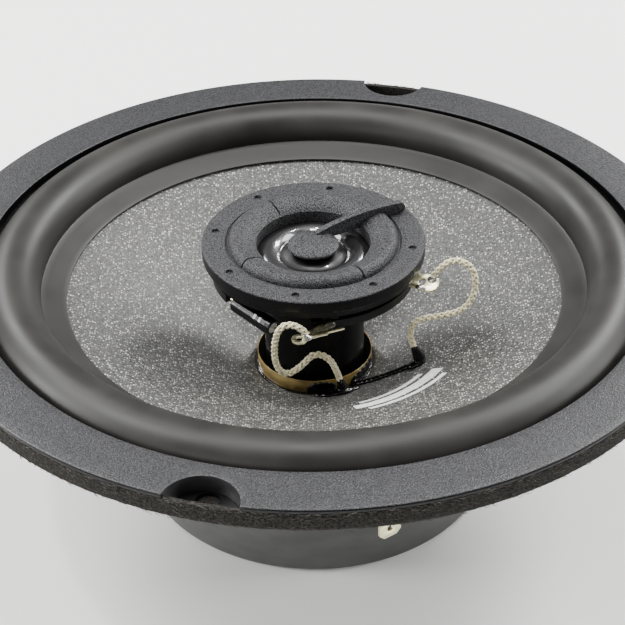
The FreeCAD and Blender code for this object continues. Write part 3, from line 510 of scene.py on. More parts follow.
# ---- spider
# Cotton cloth dipped in resin and hot pressed into round waves. Its flat rim is glued to the basket
# and its collar to the coil's tube, so it bends between the two as the cone moves.
WAVE_H = 0.7
SPIDER_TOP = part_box("spider")[1].z / MM - WAVE_H
WAVE_L = 4.2
WAVE_OUT_R = 36.6
WAVE_IN_R = WAVE_OUT_R - 5 * WAVE_L
CLOTH_OUT_R = 43.5
CLOTH_T = 0.4
COLLAR_R = 12.85
COLLAR_LOW = -25.2


def cloth_height(radius):
    """How far the waves lift the cloth at a radius."""
    if not WAVE_IN_R <= radius <= WAVE_OUT_R:
        return 0.0
    return WAVE_H * sin((WAVE_OUT_R - radius) * 2 * pi / WAVE_L)


def blended_by_radius(piece, low_r, high_r, body="cone_assembly"):
    """Bends a piece between frame and a body: fixed outside the high radius, moving inside the low."""
    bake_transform(piece, "frame", body, (0, 0, 0), (0, 0, 0.01))
    weights = piece.data.attributes["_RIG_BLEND"].data
    for vertex, weight in zip(piece.data.vertices, weights):
        share = (high_r * MM - hypot(vertex.co.x, vertex.co.y)) / ((high_r - low_r) * MM)
        share = min(1.0, max(0.0, share))
        weight.value = share * share * (3 - 2 * share)


cloth_line = [(radius, SPIDER_TOP + cloth_height(radius))
              for radius in np.arange(CLOTH_OUT_R, COLLAR_R + 0.9, -0.35)]
cloth_outline = cloth_line + arc((COLLAR_R + 0.75, SPIDER_TOP - 0.75), 0.75, 90, 180, 5)
cloth_outline += [(COLLAR_R, COLLAR_LOW), (COLLAR_R + CLOTH_T, COLLAR_LOW)]
cloth_outline += [(radius, height - CLOTH_T) for radius, height in reversed(cloth_line)]
cloth = turned("spider_cloth_disc", cloth_outline, 256)
smooth(cloth, 50)
# Dipped cloth: amber brown, with threads that catch light: painted light on their crests and
# painted shade between them. They are drawn coarser than real ones.
dipped_cloth = finish_named("resin_dipped_cotton_cloth", "#8A5F2A", 0.7, Sheen_Weight=0.15)
THREAD = 0.45
BANDS = 2 * pi / 20


def banded_with_painted_shade(material, pitch, directions, height, low, high, distortion=0.0):
    """Covers a material with raised threads or turns, of a pitch and a height in millimetres."""
    places = add(material, "TexCoord").outputs["Object"]
    waves = [add(material, "TexWave", {"Scale": BANDS / (pitch * MM), "Distortion": distortion},
                 {"Vector": places}, bands_direction=direction).outputs["Fac"]
             for direction in directions]
    raised = waves[0]
    for wave in waves[1:]:
        raised = add(material, "Math", links={0: raised, 1: wave}, operation="MAXIMUM").outputs["Value"]
    bump = add(material, "Bump", {"Distance": height * MM}, {"Height": raised})
    # Hollows take the low shade and crests the high one: painted shade and painted light.
    tones = add(material, "Mix", {6: linear(low), 7: linear(high)}, {0: raised}, data_type="RGBA")
    feed(material, Normal=bump.outputs["Normal"], Base_Color=tones.outputs[2])


banded_with_painted_shade(dipped_cloth, THREAD, "XY", 0.08, "#5E3E18", "#9C7036", 0.4)
finished(cloth, dipped_cloth, None, "spider_cloth", "spider")
blended_by_radius(cloth, WAVE_IN_R, WAVE_OUT_R)

# ---- voice coil
# A tube of amber polyimide film, cut clean so that its rim catches light, with lacquered copper wire
# wound close round its lower end.
TUBE_R = 12.8
TUBE_IN_R = 12.55
TUBE_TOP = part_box("voice_coil_former")[1].z / MM
TUBE_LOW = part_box("voice_coil_former")[0].z / MM
tube_outline = [(TUBE_R, height) for height in np.linspace(TUBE_LOW, TUBE_TOP - 0.06, 10)]
tube_outline += [(TUBE_R - 0.05, TUBE_TOP), (TUBE_IN_R + 0.05, TUBE_TOP), (TUBE_IN_R, TUBE_TOP - 0.06),
                 (TUBE_IN_R, TUBE_LOW)]
tube = turned("coil_tube", tube_outline, 200)
smooth(tube, 40)
# Film: dark gold, paler in streaks that are painted reflection. Its inside is painted black:
# painted shade for the tube's dark inside.
amber_film = finish_named("amber_polyimide_film", "#7E6230", 0.24, Coat_Weight=0.4, Coat_Roughness=0.1)
grained(amber_film, 6.0, 0.03, "#564522", "#A68F54", detail=3.0, stretch=(1, 1, 2))
tube_inside_painted_shade = finish_named("coil_tube_inside_painted_shade", "#050505", 0.45)
grained(tube_inside_painted_shade, 1.5, 0.02)
finished(tube, amber_film, "cone_assembly", "amber_film", "voice_coil_former")
partly(tube, tube_inside_painted_shade, lambda place, facing: place.xy.length < (TUBE_IN_R + 0.03) * MM)

# Wire: shining copper turns with dark gaps of painted shade, drawn coarser than the real 0.15 mm wire.
enamelled_wire = finish_named("lacquered_copper_wire", "#B4602C", 0.25, Metallic=1.0, Coat_Weight=0.5)
WIRE_PITCH = 0.25
banded_with_painted_shade(enamelled_wire, WIRE_PITCH, "Z", 0.08, "#5C2A10", "#C06A34")
coat(enamelled_wire, "voice_coil_winding", "tweeter_voice_coil")

# ---- cone
# Injection moulded polypropylene filled with mica: dark grey, satin, with small bright flakes that lie
# at all angles in its skin. A plain printed mark of pale ink takes the maker's place on it.

# Mica cone: a cloudy grey skin with pale flakes, drawn larger than real flakes of 0.1 to 0.3 mm.
# The flakes are pale mica, and how bright each one is, set by a random tilt, is painted glint.
mica_cone = finish_named("mica_filled_polypropylene", "#3E3E3C", 0.5, Specular_IOR_Level=0.4)
cloudy = grained(mica_cone, 0.5, 0.06, rough=(0.55, 0.4), detail=2.0)
skin = add(mica_cone, "Mix", {6: linear("#20201E"), 7: linear("#525250")}, {0: cloudy},
           data_type="RGBA")
FLAKE_CELL = 0.48
skin_places = add(mica_cone, "TexCoord").outputs["Object"]
flakes = add(mica_cone, "TexVoronoi", {"Scale": 1 / (FLAKE_CELL * MM)}, {"Vector": skin_places})
lying = add(mica_cone, "SeparateColor", links={"Color": flakes.outputs["Color"]})
# A random tilt for each flake sets its brightness: painted glint where a flake would mirror a lamp.
tilt = add(mica_cone, "Math", {1: 3.5}, {0: lying.outputs["Red"]}, operation="POWER")
near = add(mica_cone, "MapRange", {"From Min": 0.2, "From Max": 0.5, "To Min": 1.0, "To Max": 0.0},
           {"Value": flakes.outputs["Distance"]})
painted_flake_glint = add(mica_cone, "Math", links={0: near.outputs["Result"], 1: tilt.outputs["Value"]},
            operation="MULTIPLY")
flaked = add(mica_cone, "Mix", {7: linear("#DEDDD6")}, {6: skin.outputs[2], 0: painted_flake_glint.outputs["Value"]},
             data_type="RGBA")
feed(mica_cone, Base_Color=flaked.outputs[2])
coat(mica_cone, "cone")

CONE_POINTS = ((12.8, -22.75), (34.5, -11.38), (58.0, -0.7))


def circle_through(points):
    """Centre and radius of the circle through three points of a profile."""
    (ax, ay), (bx, by), (cx, cy) = points
    across = 2 * (ax * (by - cy) + bx * (cy - ay) + cx * (ay - by))
    a, b, c = ax * ax + ay * ay, bx * bx + by * by, cx * cx + cy * cy
    x = (a * (by - cy) + b * (cy - ay) + c * (ay - by)) / across
    y = (a * (cx - bx) + b * (ax - cx) + c * (bx - ax)) / across
    return x, y, hypot(ax - x, ay - y)


bow_r, bow_z, bow_size = circle_through(CONE_POINTS)
bow_side = 1 if CONE_POINTS[1][1] > bow_z else -1


def cone_front(radius):
    """The height of the cone's front at a radius, in millimetres."""
    return bow_z + bow_side * sqrt(bow_size ** 2 - (radius - bow_r) ** 2)


def printed_stripe(low_r, high_r, start, end):
    """A thin stripe of ink that follows the cone between two radii and two angles."""
    outline = [(radius, cone_front(radius) + 0.04) for radius in np.linspace(low_r, high_r, 4)]
    piece = turned("ink_stripe", outline, 240, closed=False)
    bpy.ops.object.mode_set(mode="EDIT")
    for angle, inner in ((start, False), (end, True)):
        bpy.ops.mesh.select_all(action="SELECT")
        side = radians(angle)
        bpy.ops.mesh.bisect(plane_co=(0, 0, 0), plane_no=(-sin(side), cos(side), 0),
                            clear_inner=not inner, clear_outer=inner)
    bpy.ops.object.mode_set(mode="OBJECT")
    modified(piece, "SOLIDIFY", thickness=0.02 * MM, offset=-1)
    return piece


def joined(name, pieces):
    """Several pieces made one mesh."""
    picked(*pieces)
    bpy.ops.object.join()
    bpy.context.object.name = bpy.context.object.data.name = name
    return bpy.context.object


STRIPES_ON_CONE = ((27.6, 28.8, -71, -37), (29.9, 32.6, -75, -33), (33.7, 34.9, -71, -37))
mark = joined("printed_mark", [printed_stripe(*stripe) for stripe in STRIPES_ON_CONE])
# Ink: flat, even and nearly white.
ink = finish_named("pale_screen_ink", "#D4D4D1", 0.5)
grained(ink, 0.5, 0.02, "#C2C2BF", "#E2E2DF")
finished(mark, ink, "cone_assembly", "mica_poly_cone")

# ---- surround
# Moulded butyl rubber: a flat foot under the trim ring, a half round roll and a thin lip glued to the
# cone's rim. Its satin skin shows soft bands of light, with a little dust and wiping marks.
ROLL_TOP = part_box("surround")[1].z / MM
RUBBER_T = 0.6
FOOT_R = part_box("surround")[1].x / MM
LIP_R = 53.6
LIP_Z = -1.75
ROLL_OUT_R = 70.95
ROLL_IN_R = 58.85
CREASE_Z = 0.35
FOOT_TOP = FLANGE_TOP + RUBBER_T


def between_angles(points, count):
    """Points along the arc through three points, from the first to the last."""
    x, y, size = circle_through(points)
    first, middle, last = [degrees(atan2(up - y, across - x)) % 360 for across, up in points]
    if not min(first, last) <= middle <= max(first, last):
        first, last = [angle - 360 if angle > 180 else angle for angle in (first, last)]
    return arc((x, y), size, first, last, count)


roll_middle = (ROLL_OUT_R + ROLL_IN_R - RUBBER_T / 6) / 2
upper_roll = between_angles(((ROLL_OUT_R, FOOT_TOP), (roll_middle, ROLL_TOP),
                             (ROLL_IN_R, CREASE_Z)), 40)
lower_roll = between_angles(((ROLL_IN_R + 0.36, CREASE_Z - 0.5), (roll_middle, ROLL_TOP - RUBBER_T),
                             (ROLL_OUT_R - RUBBER_T, FLANGE_TOP)), 32)
BEND_R = ROLL_IN_R - 0.35
BEND_Z = CREASE_Z - 0.22
surround_outline = [(FOOT_R, FLANGE_TOP + 0.02), (FOOT_R, FOOT_TOP - 0.02), (72.5, FOOT_TOP - 0.02)]
surround_outline += upper_roll + [(BEND_R, BEND_Z)]
surround_outline += [(LIP_R + share * (BEND_R - LIP_R), LIP_Z + share * (BEND_Z - LIP_Z))
                     for share in (0.8, 0.6, 0.4, 0.2, 0.06)]
surround_outline += [(LIP_R, LIP_Z - 0.06), (LIP_R, LIP_Z - 0.3), (LIP_R + 0.2, LIP_Z - 0.5)]
surround_outline += lower_roll
rubber_roll = turned("rubber_surround", surround_outline, 256)
smooth(rubber_roll, 40)
# Butyl: warm black with wide soft bands of light.
butyl = finish_named("moulded_butyl_rubber", "#161514", 0.46, Specular_IOR_Level=0.33)
grained(butyl, 12.0, 0.06, "#181716", "#242320", (0.42, 0.51), 7.0)
finished(rubber_roll, butyl, None, "black_rubber", "surround")
blended_by_radius(rubber_roll, ROLL_IN_R, ROLL_OUT_R)

# ---- neck glue
# A bead of clear adhesive in the corner between cone and coil tube. It was laid by nozzle, so it
# swells and thins, and its wet looking skin catches small lights.
BEAD_H = 0.5
bead_outline = [(12.82, cone_front(12.82) + 0.05), (12.82, cone_front(12.82) + BEAD_H)]
bead_outline += between_angles(((12.9, cone_front(12.82) + BEAD_H), (13.25, cone_front(13.2) + 0.3),
                                (13.6, cone_front(13.6) + 0.03)), 9)
bead = turned("clear_neck_bead", bead_outline, 300)
roughened(bead, 3.5, 0.12)
smooth(bead, 80)
# Clear glue: dark and wet, with a thin bright line where it turns.
clear_glue = finish_named("clear_cured_adhesive", "#2C271D", 0.12, Transmission_Weight=0.8)
grained(clear_glue, 3.0, 0.05)
finished(bead, clear_glue, "cone_assembly", "clear_glue", "neck_glue")

# ---- tweeter post, housing and motor
# A black moulded post stands on the pole and carries the tweeter's housing, a ring with pillars round
# a cup. The cup holds a small steel yoke, a nickel plated magnet and a steel plate.
# The post and housing take the darker smooth black, painted shade under the face.
coat(smooth_abs_painted_shade, "tweeter_post", "tweeter_housing")
coat(zinc, "post_screw", "tweeter_yoke", "tweeter_top_plate")
# Nickel: warm silver, nearly a mirror.
nickel = finish_named("nickel_plated_neodymium", "#C9C5BC", 0.18, Metallic=1.0)
grained(nickel, 1.2, 0.01, rough=(0.14, 0.26))
coat(nickel, "tweeter_magnet")

# ---- tweeter diaphragm
# Clear lacquered black polyetherimide film, hot formed into a shallow dome with a rolled edge. Slanted
# ribs stiffen the edge, and the film mirrors the lamps sharply.
RIM_Z = 5.75
DOME_R = 7.0
DOME_TOP = 6.95
DOME_EDGE_Z = 5.66
EDGE_IN_R = 7.2
EDGE_OUT_R = 12.2
EDGE_TOP = 6.95
RIM_R = 12.9
FILM_T = 0.12
RIB_COUNT = 26
RIB_LEAN = 0.34
RIB_REACH = 0.75
RIB_RISE = 0.07


def film_height(radius):
    """The film's height at a radius: dome, groove, rolled edge and flat rim."""
    if radius <= DOME_R:
        bow = (DOME_R ** 2 + (DOME_TOP - DOME_EDGE_Z) ** 2) / (2 * (DOME_TOP - DOME_EDGE_Z))
        return DOME_TOP - bow + sqrt(bow ** 2 - radius ** 2)
    if EDGE_IN_R < radius < EDGE_OUT_R:
        share = (radius - EDGE_IN_R) / (EDGE_OUT_R - EDGE_IN_R)
        low = DOME_EDGE_Z + (RIM_Z - DOME_EDGE_Z) * min(1.0, 2 * share)
        return low + (EDGE_TOP - low) * sin(pi * share) ** 0.8
    return RIM_Z if radius >= EDGE_OUT_R else DOME_EDGE_Z


film_line = [(radius, film_height(radius)) for radius in np.arange(0, DOME_R, 0.7)]
film_line += [(radius, film_height(radius)) for radius in np.arange(DOME_R, RIM_R + 0.01, 0.2)]
film_outline = film_line + [(radius, height - FILM_T) for radius, height in reversed(film_line)]
film = turned("formed_film", film_outline, 456, closed=False)
for vertex in film.data.vertices:
    radius = hypot(vertex.co.x, vertex.co.y) / MM
    if EDGE_IN_R < radius < EDGE_OUT_R:
        share = (radius - EDGE_IN_R) / (EDGE_OUT_R - EDGE_IN_R)
        turn = atan2(vertex.co.y, vertex.co.x) + RIB_LEAN * (radius - EDGE_IN_R)
        wave = max(0.0, sin(RIB_COUNT * turn)) ** 2 * (0.55 - 0.45 * vertex.co.y / MM / radius)
        vertex.co.z -= RIB_RISE * MM * wave * sin(pi * min(1.0, share / RIB_REACH))
smooth(film, 60)
# Film: black with a hard clear gloss that mirrors each lamp.
black_film = finish_named("glossy_black_polyetherimide_film", "#0A0A0B", 0.3, Coat_Weight=1.0,
                          Coat_Roughness=0.04, Coat_IOR=1.66)
grained(black_film, 4.0, 0.015, rough=(0.28, 0.36), detail=1.0)
finished(film, black_film, None, "gloss_black_film", "tweeter_diaphragm")
blended_by_radius(film, DOME_R, EDGE_OUT_R, "tweeter_dome")

# ---- tweeter face
# Black ABS from a spark eroded mould: a coarse matt grain that glitters like salt and pepper. A round
# ring, split by four seams, leads into the throat; eight shallow pin marks lie round the flange.
FACE_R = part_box("tweeter_face")[1].x / MM
FACE_TOP = 9.3
THROAT_R = 12.3
CREST_R = 16.2
CREST_Z = 10.7
RING_OUT_R = 18.35
GROOVE_R = 18.95
GROOVE_Z = 8.8
ARM_DEG = 34.7

face_outline = [(THROAT_R, 5.85), (THROAT_R, 8.6)]
face_outline += between_angles(((THROAT_R, 8.7), (14.05, 10.05), (CREST_R, CREST_Z)), 9)
face_outline += between_angles(((CREST_R, CREST_Z), (17.8, 10.2), (RING_OUT_R, FACE_TOP)), 7)[1:]
face_outline += [(RING_OUT_R, GROOVE_Z), (GROOVE_R, GROOVE_Z)]
face_outline += rounded((GROOVE_R, FACE_TOP), 0.15, 90, 3)[::-1]
face_outline += [(20.0, FACE_TOP), (21.4, FACE_TOP), (22.8, FACE_TOP)]
face_outline += rounded((FACE_R, FACE_TOP), 0.35, 0, 5)[::-1]
face_outline += [(FACE_R, 6.75), (FACE_R - 0.15, 6.6), (23.1, 6.6), (23.1, 4.85), (22.95, 4.7),
                 (21.8, 4.7), (21.8, 7.4), (13.6, 7.4), (13.6, 5.85)]
face = turned("tweeter_face_moulding", face_outline, 288)
drilled(face, 0.9, 21.4, FACE_TOP - 0.6, FACE_TOP + 1, [ARM_DEG + 45 * pin for pin in range(8)], 32)
SEAM_SIZE = (7.35, 0.42, 3.0)
SEAM_R = 14.975
SEAM_Z = 10.45


def placed(piece, turn, place):
    """Turns a piece and moves it by a place in metres, and leaves its origin at the world's."""
    piece.rotation_euler = turn
    piece.location = place
    picked(piece)
    bpy.ops.object.transform_apply()


for seam in range(4):
    bpy.ops.mesh.primitive_cube_add(size=MM)
    slot = bpy.context.object
    slot.scale = SEAM_SIZE
    placed(slot, (0, 0, 0), (SEAM_R * MM, 0, SEAM_Z * MM))
    placed(slot, (0, 0, radians(ARM_DEG + 90 * seam)), (0, 0, 0))
    cut(face, slot)
bevelled(face, 0.07, 50)
smooth(face)
# Spark eroded ABS: salt and pepper greys, coarser and darker than the trim's; the pale specks are
# painted glints.
spark_abs_painted_glints = finish_named("spark_eroded_black_abs_painted_glints", "#1B1B1C", 0.45, Specular_IOR_Level=0.22)
grained(spark_abs_painted_glints, 0.25, 0.16, "#010101", "#454547", (0.55, 0.35), 1.0, contrast=0.1)
finished(face, spark_abs_painted_glints, "frame", "textured_black_plastic", "tweeter_face")
# The face's outer side takes the darker smooth black, painted shade under the flange.
partly(face, smooth_abs_painted_shade, lambda place, facing: place.z < (FACE_TOP - 0.35) * MM
       and place.xy.length > (CREST_R + 0.5) * MM and facing.z < 0.5)

# ---- dome guard
# A small domed disc over the film, carried by one upright blade that rises as it runs out over the
# ring and ends in a round nose on the flange. Moulded with the face, in the same grain.
ARM_ROOT = (0.5, 3.0)
ARM_AIM = 22.3
ARM_T = 1.5
disc_outline = [(0, 7.5), (4.9, 7.5)] + arc((5.2, 7.85), 0.4, -90, 60, 6)
disc_outline += between_angles(((5.0, 8.42), (3.0, 8.83), (0.0, 9.0)), 8)
disc = turned("guard_disc", disc_outline, 128, closed=False)


def plate(name, points, offset):
    """Fills an outline through points and draws it out by an offset, in millimetres."""
    piece = drawn(name, points)
    bpy.ops.mesh.edge_face_add()
    bpy.ops.mesh.extrude_region_move(TRANSFORM_OT_translate={"value": [along * MM for along in offset]})
    bpy.ops.mesh.select_all(action="SELECT")
    bpy.ops.mesh.normals_make_consistent(inside=False)
    bpy.ops.object.mode_set(mode="OBJECT")
    bpy.ops.object.transform_apply()
    return piece


blade_points = [(0, 7.6), (4.6, 7.6)] + between_angles(((4.9, 7.6), (7.5, 8.0), (11.2, 8.2)), 6)
blade_points += [(13.0, 8.2), (17.0, 9.4), (19.4, 9.4)]
blade_points += between_angles(((19.5, 9.42), (21.0, 10.8), (20.0, 12.0)), 9)
blade_points += between_angles(((19.8, 12.03), (7.4, 11.2), (0.0, 9.15)), 12)
blade = plate("guard_blade", [(along, -ARM_T / 2, height) for along, height in blade_points],
              (0, ARM_T, 0))
placed(blade, (0, 0, radians(ARM_AIM)), (ARM_ROOT[0] * MM, ARM_ROOT[1] * MM, 0))
cut(blade, face, keep=True)
cut(disc, blade, "UNION")
disc.name = disc.data.name = "dome_guard_moulding"
bevelled(disc, 0.12, 45)
smooth(disc)
finished(disc, spark_abs_painted_glints, "frame", "textured_black_plastic", "dome_guard")

# ---- capacitor
# A small axial capacitor glued under the tweeter. A black sleeve is shrunk over its can and folds in
# round a grey end seal; two plain pale bars mark one side.
CAN_AT = Vector((-12.5, -17.1, 1.45)) * MM
CAN_R = 1.8
CAN_L = 11.6
SEAL_R = 1.15
CAN_AIM = -45.7
CAN_DIP = 4.0
half = CAN_L / 2
can_outline = [(0, -half + 0.25), (SEAL_R, -half + 0.25)]
can_outline += arc((SEAL_R + 0.3, -half + 0.2), 0.2, 180, 270, 3)
can_outline += arc((CAN_R - 0.35, -half + 0.35), 0.35, -90, 0, 5) + [(CAN_R - 0.05, -half + 0.8)]
can_outline += [(CAN_R, height) for height in np.arange(-half + 1.1, half - 1.0, 0.3)]
can_outline += [(CAN_R - 0.05, half - 0.8)]
can_outline += arc((CAN_R - 0.35, half - 0.35), 0.35, 0, 90, 5)
can_outline += arc((SEAL_R + 0.3, half - 0.2), 0.2, 90, 180, 3)
can_outline += [(SEAL_R, half - 0.25), (0, half - 0.25)]
can = turned("capacitor_sleeve", can_outline, 64, closed=False)
# Sleeve: black and glossy. Its end seal is dull grey, and its print is pale.
sleeve = finish_named("black_shrink_sleeve", "#040405", 0.24, Specular_IOR_Level=0.3)
grained(sleeve, 1.5, 0.03)
seal = finish_named("grey_rubber_seal", "#B0B0B0", 0.5)
grained(seal, 0.4, 0.03, "#A0A0A0", "#C0C0C0")
stripe = finish_named("pale_sleeve_print", "#B9BAB8", 0.3)
grained(stripe, 0.3, 0.01, "#A9AAA8", "#C9CAC8")
STRIPE_DEG = -135
STRIPE_HALF_DEG = 16
STRIPES = ((0.9, 1.5), (2.4, 3.0))
can.data.materials.append(sleeve)
partly(can, seal, lambda place, facing: place.xy.length < SEAL_R * MM)
partly(can, stripe, lambda place, facing: any(low * MM < place.z < high * MM for low, high in STRIPES)
       and abs(degrees(atan2(place.y, place.x)) - STRIPE_DEG) < STRIPE_HALF_DEG)
placed(can, (0, radians(90 + CAN_DIP), radians(CAN_AIM)), CAN_AT)
smooth(can, 50)
finished(can, None, "frame", "black_sleeve", "capacitor")

# ---- solder tabs
# Tinned brass strips riveted under the tweeter, each with a punched eye for its lead, and the two
# push-on blades of the terminal board, which are stamped from the same strip.


def flat_tab(name, outline, low, thickness, eye, eye_r, place, aim, eye_deg=0, lean=0):
    """A stamped tab: an outline in millimetres along its own x, an eye, and where its root lies."""
    tab = plate(name, [(along, across, low) for along, across in outline], (0, 0, thickness))
    drilled(tab, eye_r, eye, low - 1, low + thickness + 1, [eye_deg], 32)
    bevelled(tab, 0.1, 40)
    placed(tab, (radians(lean), 0, radians(aim)), (place[0] * MM, place[1] * MM, 0))
    smooth(tab)
    return tab


TAB_T = 0.5
RIGHT_AIM = -19.5
TAB_TWIST = 28
right_outline = [(19.0, -1.8), (25.6, -1.8)] + arc((26.3, 0), 1.8, -80, 80, 9)
right_outline += [(25.6, 1.8), (19.0, 1.8)]
right_tab = flat_tab("right_solder_tab", right_outline, 3.1, TAB_T, 24.4, 0.75, (0, 0), RIGHT_AIM)
for vertex in right_tab.data.vertices:
    aim = radians(RIGHT_AIM)
    along = vertex.co.x * cos(aim) + vertex.co.y * sin(aim)
    across = vertex.co.y * cos(aim) - vertex.co.x * sin(aim)
    share = min(1.0, max(0.0, (along / MM - 21.8) / 1.6))
    vertex.co.z += across * tan(radians(TAB_TWIST)) * share
finished(right_tab, tin, "frame", "tinned_brass", "tweeter_tab_right")
BLADE_T = 0.8
BLADE_END = -21.4
BLADE_SLOPE = 1.0
BLADE_EYE = 19.2
BOARD_AIM = 34.0
for side, place, half_w, top in (("positive", (14.1, -60.0), 2.5, -13.3),
                                 ("negative", (24.0, -53.3), 1.9, -15.3)):
    blade_outline = [(-half_w, top), (half_w, top), (half_w, BLADE_END + BLADE_SLOPE),
                     (half_w - BLADE_SLOPE, BLADE_END), (BLADE_SLOPE - half_w, BLADE_END),
                     (-half_w, BLADE_END + BLADE_SLOPE)]
    push_on = flat_tab(side + "_push_on_blade", blade_outline, -BLADE_T / 2, BLADE_T, BLADE_EYE, 0.75,
                       place, BOARD_AIM, -90, 90)
    finished(push_on, tin, "frame", "tinned_brass", "terminal_" + side)
left_outline = [(0, -0.25), (3.4, -0.25), (3.8, -0.6), (5.2, -0.75), (7.0, -0.6), (8.6, -0.7)]
left_outline += arc((10.0, 0), 1.65, -150, 150, 16)
left_outline += [(8.6, 0.7), (7.2, 0.65), (5.6, 0.6), (4.0, 0.7), (3.5, 0.25), (0, 0.25)]
left_tab = flat_tab("left_solder_tab", left_outline, 0.65, TAB_T, 10.0, 0.7, (6.1, -21.2), 202.2)
finished(left_tab, tin, "frame", "tinned_brass", "tweeter_tab_left")

# ---- leads
# Tinsel wire in a cream cotton braid, soldered to its tab and glued down on the cone, with a loop of
# slack so that the cone can move. Three carriers each way cross over and under round the core, fewer
# and thicker than real ones, which would be too fine to show.
LEFT_ROUTE = [(-0.0016, -0.0250, 0.0022), (-0.0034, -0.0258, 0.0052), (-0.0072, -0.0258, 0.0050),
              (-0.0085, -0.0239, -0.0016), (-0.0082, -0.0222, -0.0080), (-0.0062, -0.0208, -0.0116),
              (-0.0030, -0.0196, -0.0102), (-0.0002, -0.0186, -0.0072), (0.0032, -0.0174, -0.0096),
              (0.0050, -0.0162, -0.0150), (0.0058, -0.0150, -0.0189)]
RIGHT_ROUTE = [(0.0252, -0.0080, 0.0046), (0.0276, -0.0080, 0.0082), (0.0312, -0.0083, 0.0090),
               (0.0342, -0.0089, 0.0062), (0.0342, -0.0098, 0.0012), (0.0320, -0.0108, -0.0022),
               (0.0270, -0.0116, -0.0031), (0.0212, -0.0121, -0.0036), (0.0203, -0.0121, -0.0080),
               (0.0216, -0.0116, -0.0116), (0.0226, -0.0109, -0.0142)]


def rear_route(angles):
    """A route behind the cone, in metres, from the angle of each of its points."""
    return [(radius * MM * cos(radians(angle)), radius * MM * sin(radians(angle)),
             height * MM) for (radius, height), angle in zip(REAR_POINTS, angles)]


REAR_POINTS = ((59.5, -9.6), (56.8, -8.2), (51.5, -9.2), (45.5, -13.6), (39.0, -17.2), (32.0, -18.6),
               (26.6, -19.4))
POSITIVE_ROUTE = rear_route((-71.5, -72.3, -73.5, -75.0, -76.0, -76.5, -76.0))
NEGATIVE_ROUTE = rear_route((-61.5, -61.2, -60.2, -60.0, -59.3, -59.2, -60.0))
CARRIERS = 3
BRAID_PITCH = 4.0 * MM
BRAID_R = 0.42 * MM
CARRIER_R = 0.27
CORE_R = 0.36
WEAVE = 0.12 * MM
STEP = 0.16 * MM

# Braid: cream cotton with sheen, over a brown core that is painted shade for the gaps between
# carriers.
cotton = finish_named("cream_cotton_braid", "#CFC7A6", 0.85, Sheen_Weight=0.3)
grained(cotton, 0.25, 0.05, "#B5AB82", "#F0EACB", detail=3.0)
painted_shade_core = finish_named("painted_shade_braid_core", "#4A4330", 0.9)
grained(painted_shade_core, 0.25, 0.05, "#3A3424", "#5C543C")


def smooth_line(name, route):
    """The points of a lead's NURBS curve through its route."""
    line = bpy.data.curves.new(name, "CURVE")
    line.dimensions = "3D"
    spline = line.splines.new("NURBS")
    spline.points.add(len(route) - 1)
    for point, place in zip(spline.points, route):
        point.co = (*place, 1)
    spline.order_u = 3
    spline.use_endpoint_u = True
    spline.resolution_u = 16
    carrier = bpy.data.objects.new(name, line)
    bpy.context.scene.collection.objects.link(carrier)
    bpy.context.view_layer.update()
    points = [vertex.co.copy() for vertex in bpy.data.meshes.new_from_object(carrier).vertices]
    bpy.data.objects.remove(carrier)
    return points


def braided(name, route):
    """A braid of carriers over a core that follows a lead's line; returns its mesh and its line."""
    line = np.array(smooth_line(name + "_line", route))
    runs = np.linalg.norm(np.diff(line, axis=0), axis=1)
    reached = np.concatenate([[0], np.cumsum(runs)])
    stations = np.arange(0, reached[-1], STEP)
    places = np.stack([np.interp(stations, reached, line[:, axis]) for axis in range(3)], axis=1)
    heading = np.gradient(places, axis=0)
    heading /= np.linalg.norm(heading, axis=1)[:, None]
    side = np.cross(heading[0], (0.3, 0.2, 0.9))
    side /= np.linalg.norm(side)
    sides = []
    for ahead in heading:
        side = side - ahead * side.dot(ahead)
        side /= np.linalg.norm(side)
        sides.append(side)
    sides = np.array(sides)
    ups = np.cross(heading, sides)
    paths = []
    for hand in (1, -1):
        away = BRAID_R + hand * WEAVE * np.cos(2 * pi * CARRIERS * stations / BRAID_PITCH)
        for index in range(CARRIERS):
            angle = hand * 2 * pi * stations / BRAID_PITCH + 2 * pi * index / CARRIERS
            paths.append(places + away[:, None] * (np.cos(angle)[:, None] * sides
                                                   + np.sin(angle)[:, None] * ups))
    carriers = fibre_bundle(name + "_carriers", paths, CARRIER_R)
    core = fibre_bundle(name + "_core", [places], CORE_R)
    carriers.data.materials.append(cotton)
    core.data.materials.append(painted_shade_core)
    piece = joined(name, [carriers, core])
    smooth(piece, 80)
    return piece, [tuple(point) for point in line]


def flexing(piece, line):
    """Bends a lead between its fixed start and its end on the cone, by its place along the line."""
    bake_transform(piece, "frame", "cone_assembly", line[0], line[-1])
    along = np.array(line)
    for vertex, weight in zip(piece.data.vertices, piece.data.attributes["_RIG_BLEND"].data):
        nearest = np.argmin(((along - np.array(vertex.co)) ** 2).sum(axis=1))
        share = nearest / (len(along) - 1)
        weight.value = share * share * (3 - 2 * share)


for side, driver, route, length in (("left", "tweeter", LEFT_ROUTE, 0.0453),
                                    ("right", "tweeter", RIGHT_ROUTE, 0.0420),
                                    ("positive", "woofer", POSITIVE_ROUTE, 0.0360),
                                    ("negative", "woofer", NEGATIVE_ROUTE, 0.0358)):
    lead, lead_line = braided(side + "_" + driver + "_lead", route)
    finished(lead, None, None, "cream_braid", driver + "_lead_" + side)
    flexing(lead, lead_line)

# ---- solder and lead glue
# Bright solder, drawn up round the end of each lead, and glossy black adhesive over the bare tinsel
# where the leads lie down on the cone. Both set as they flowed, in low rounded lumps.


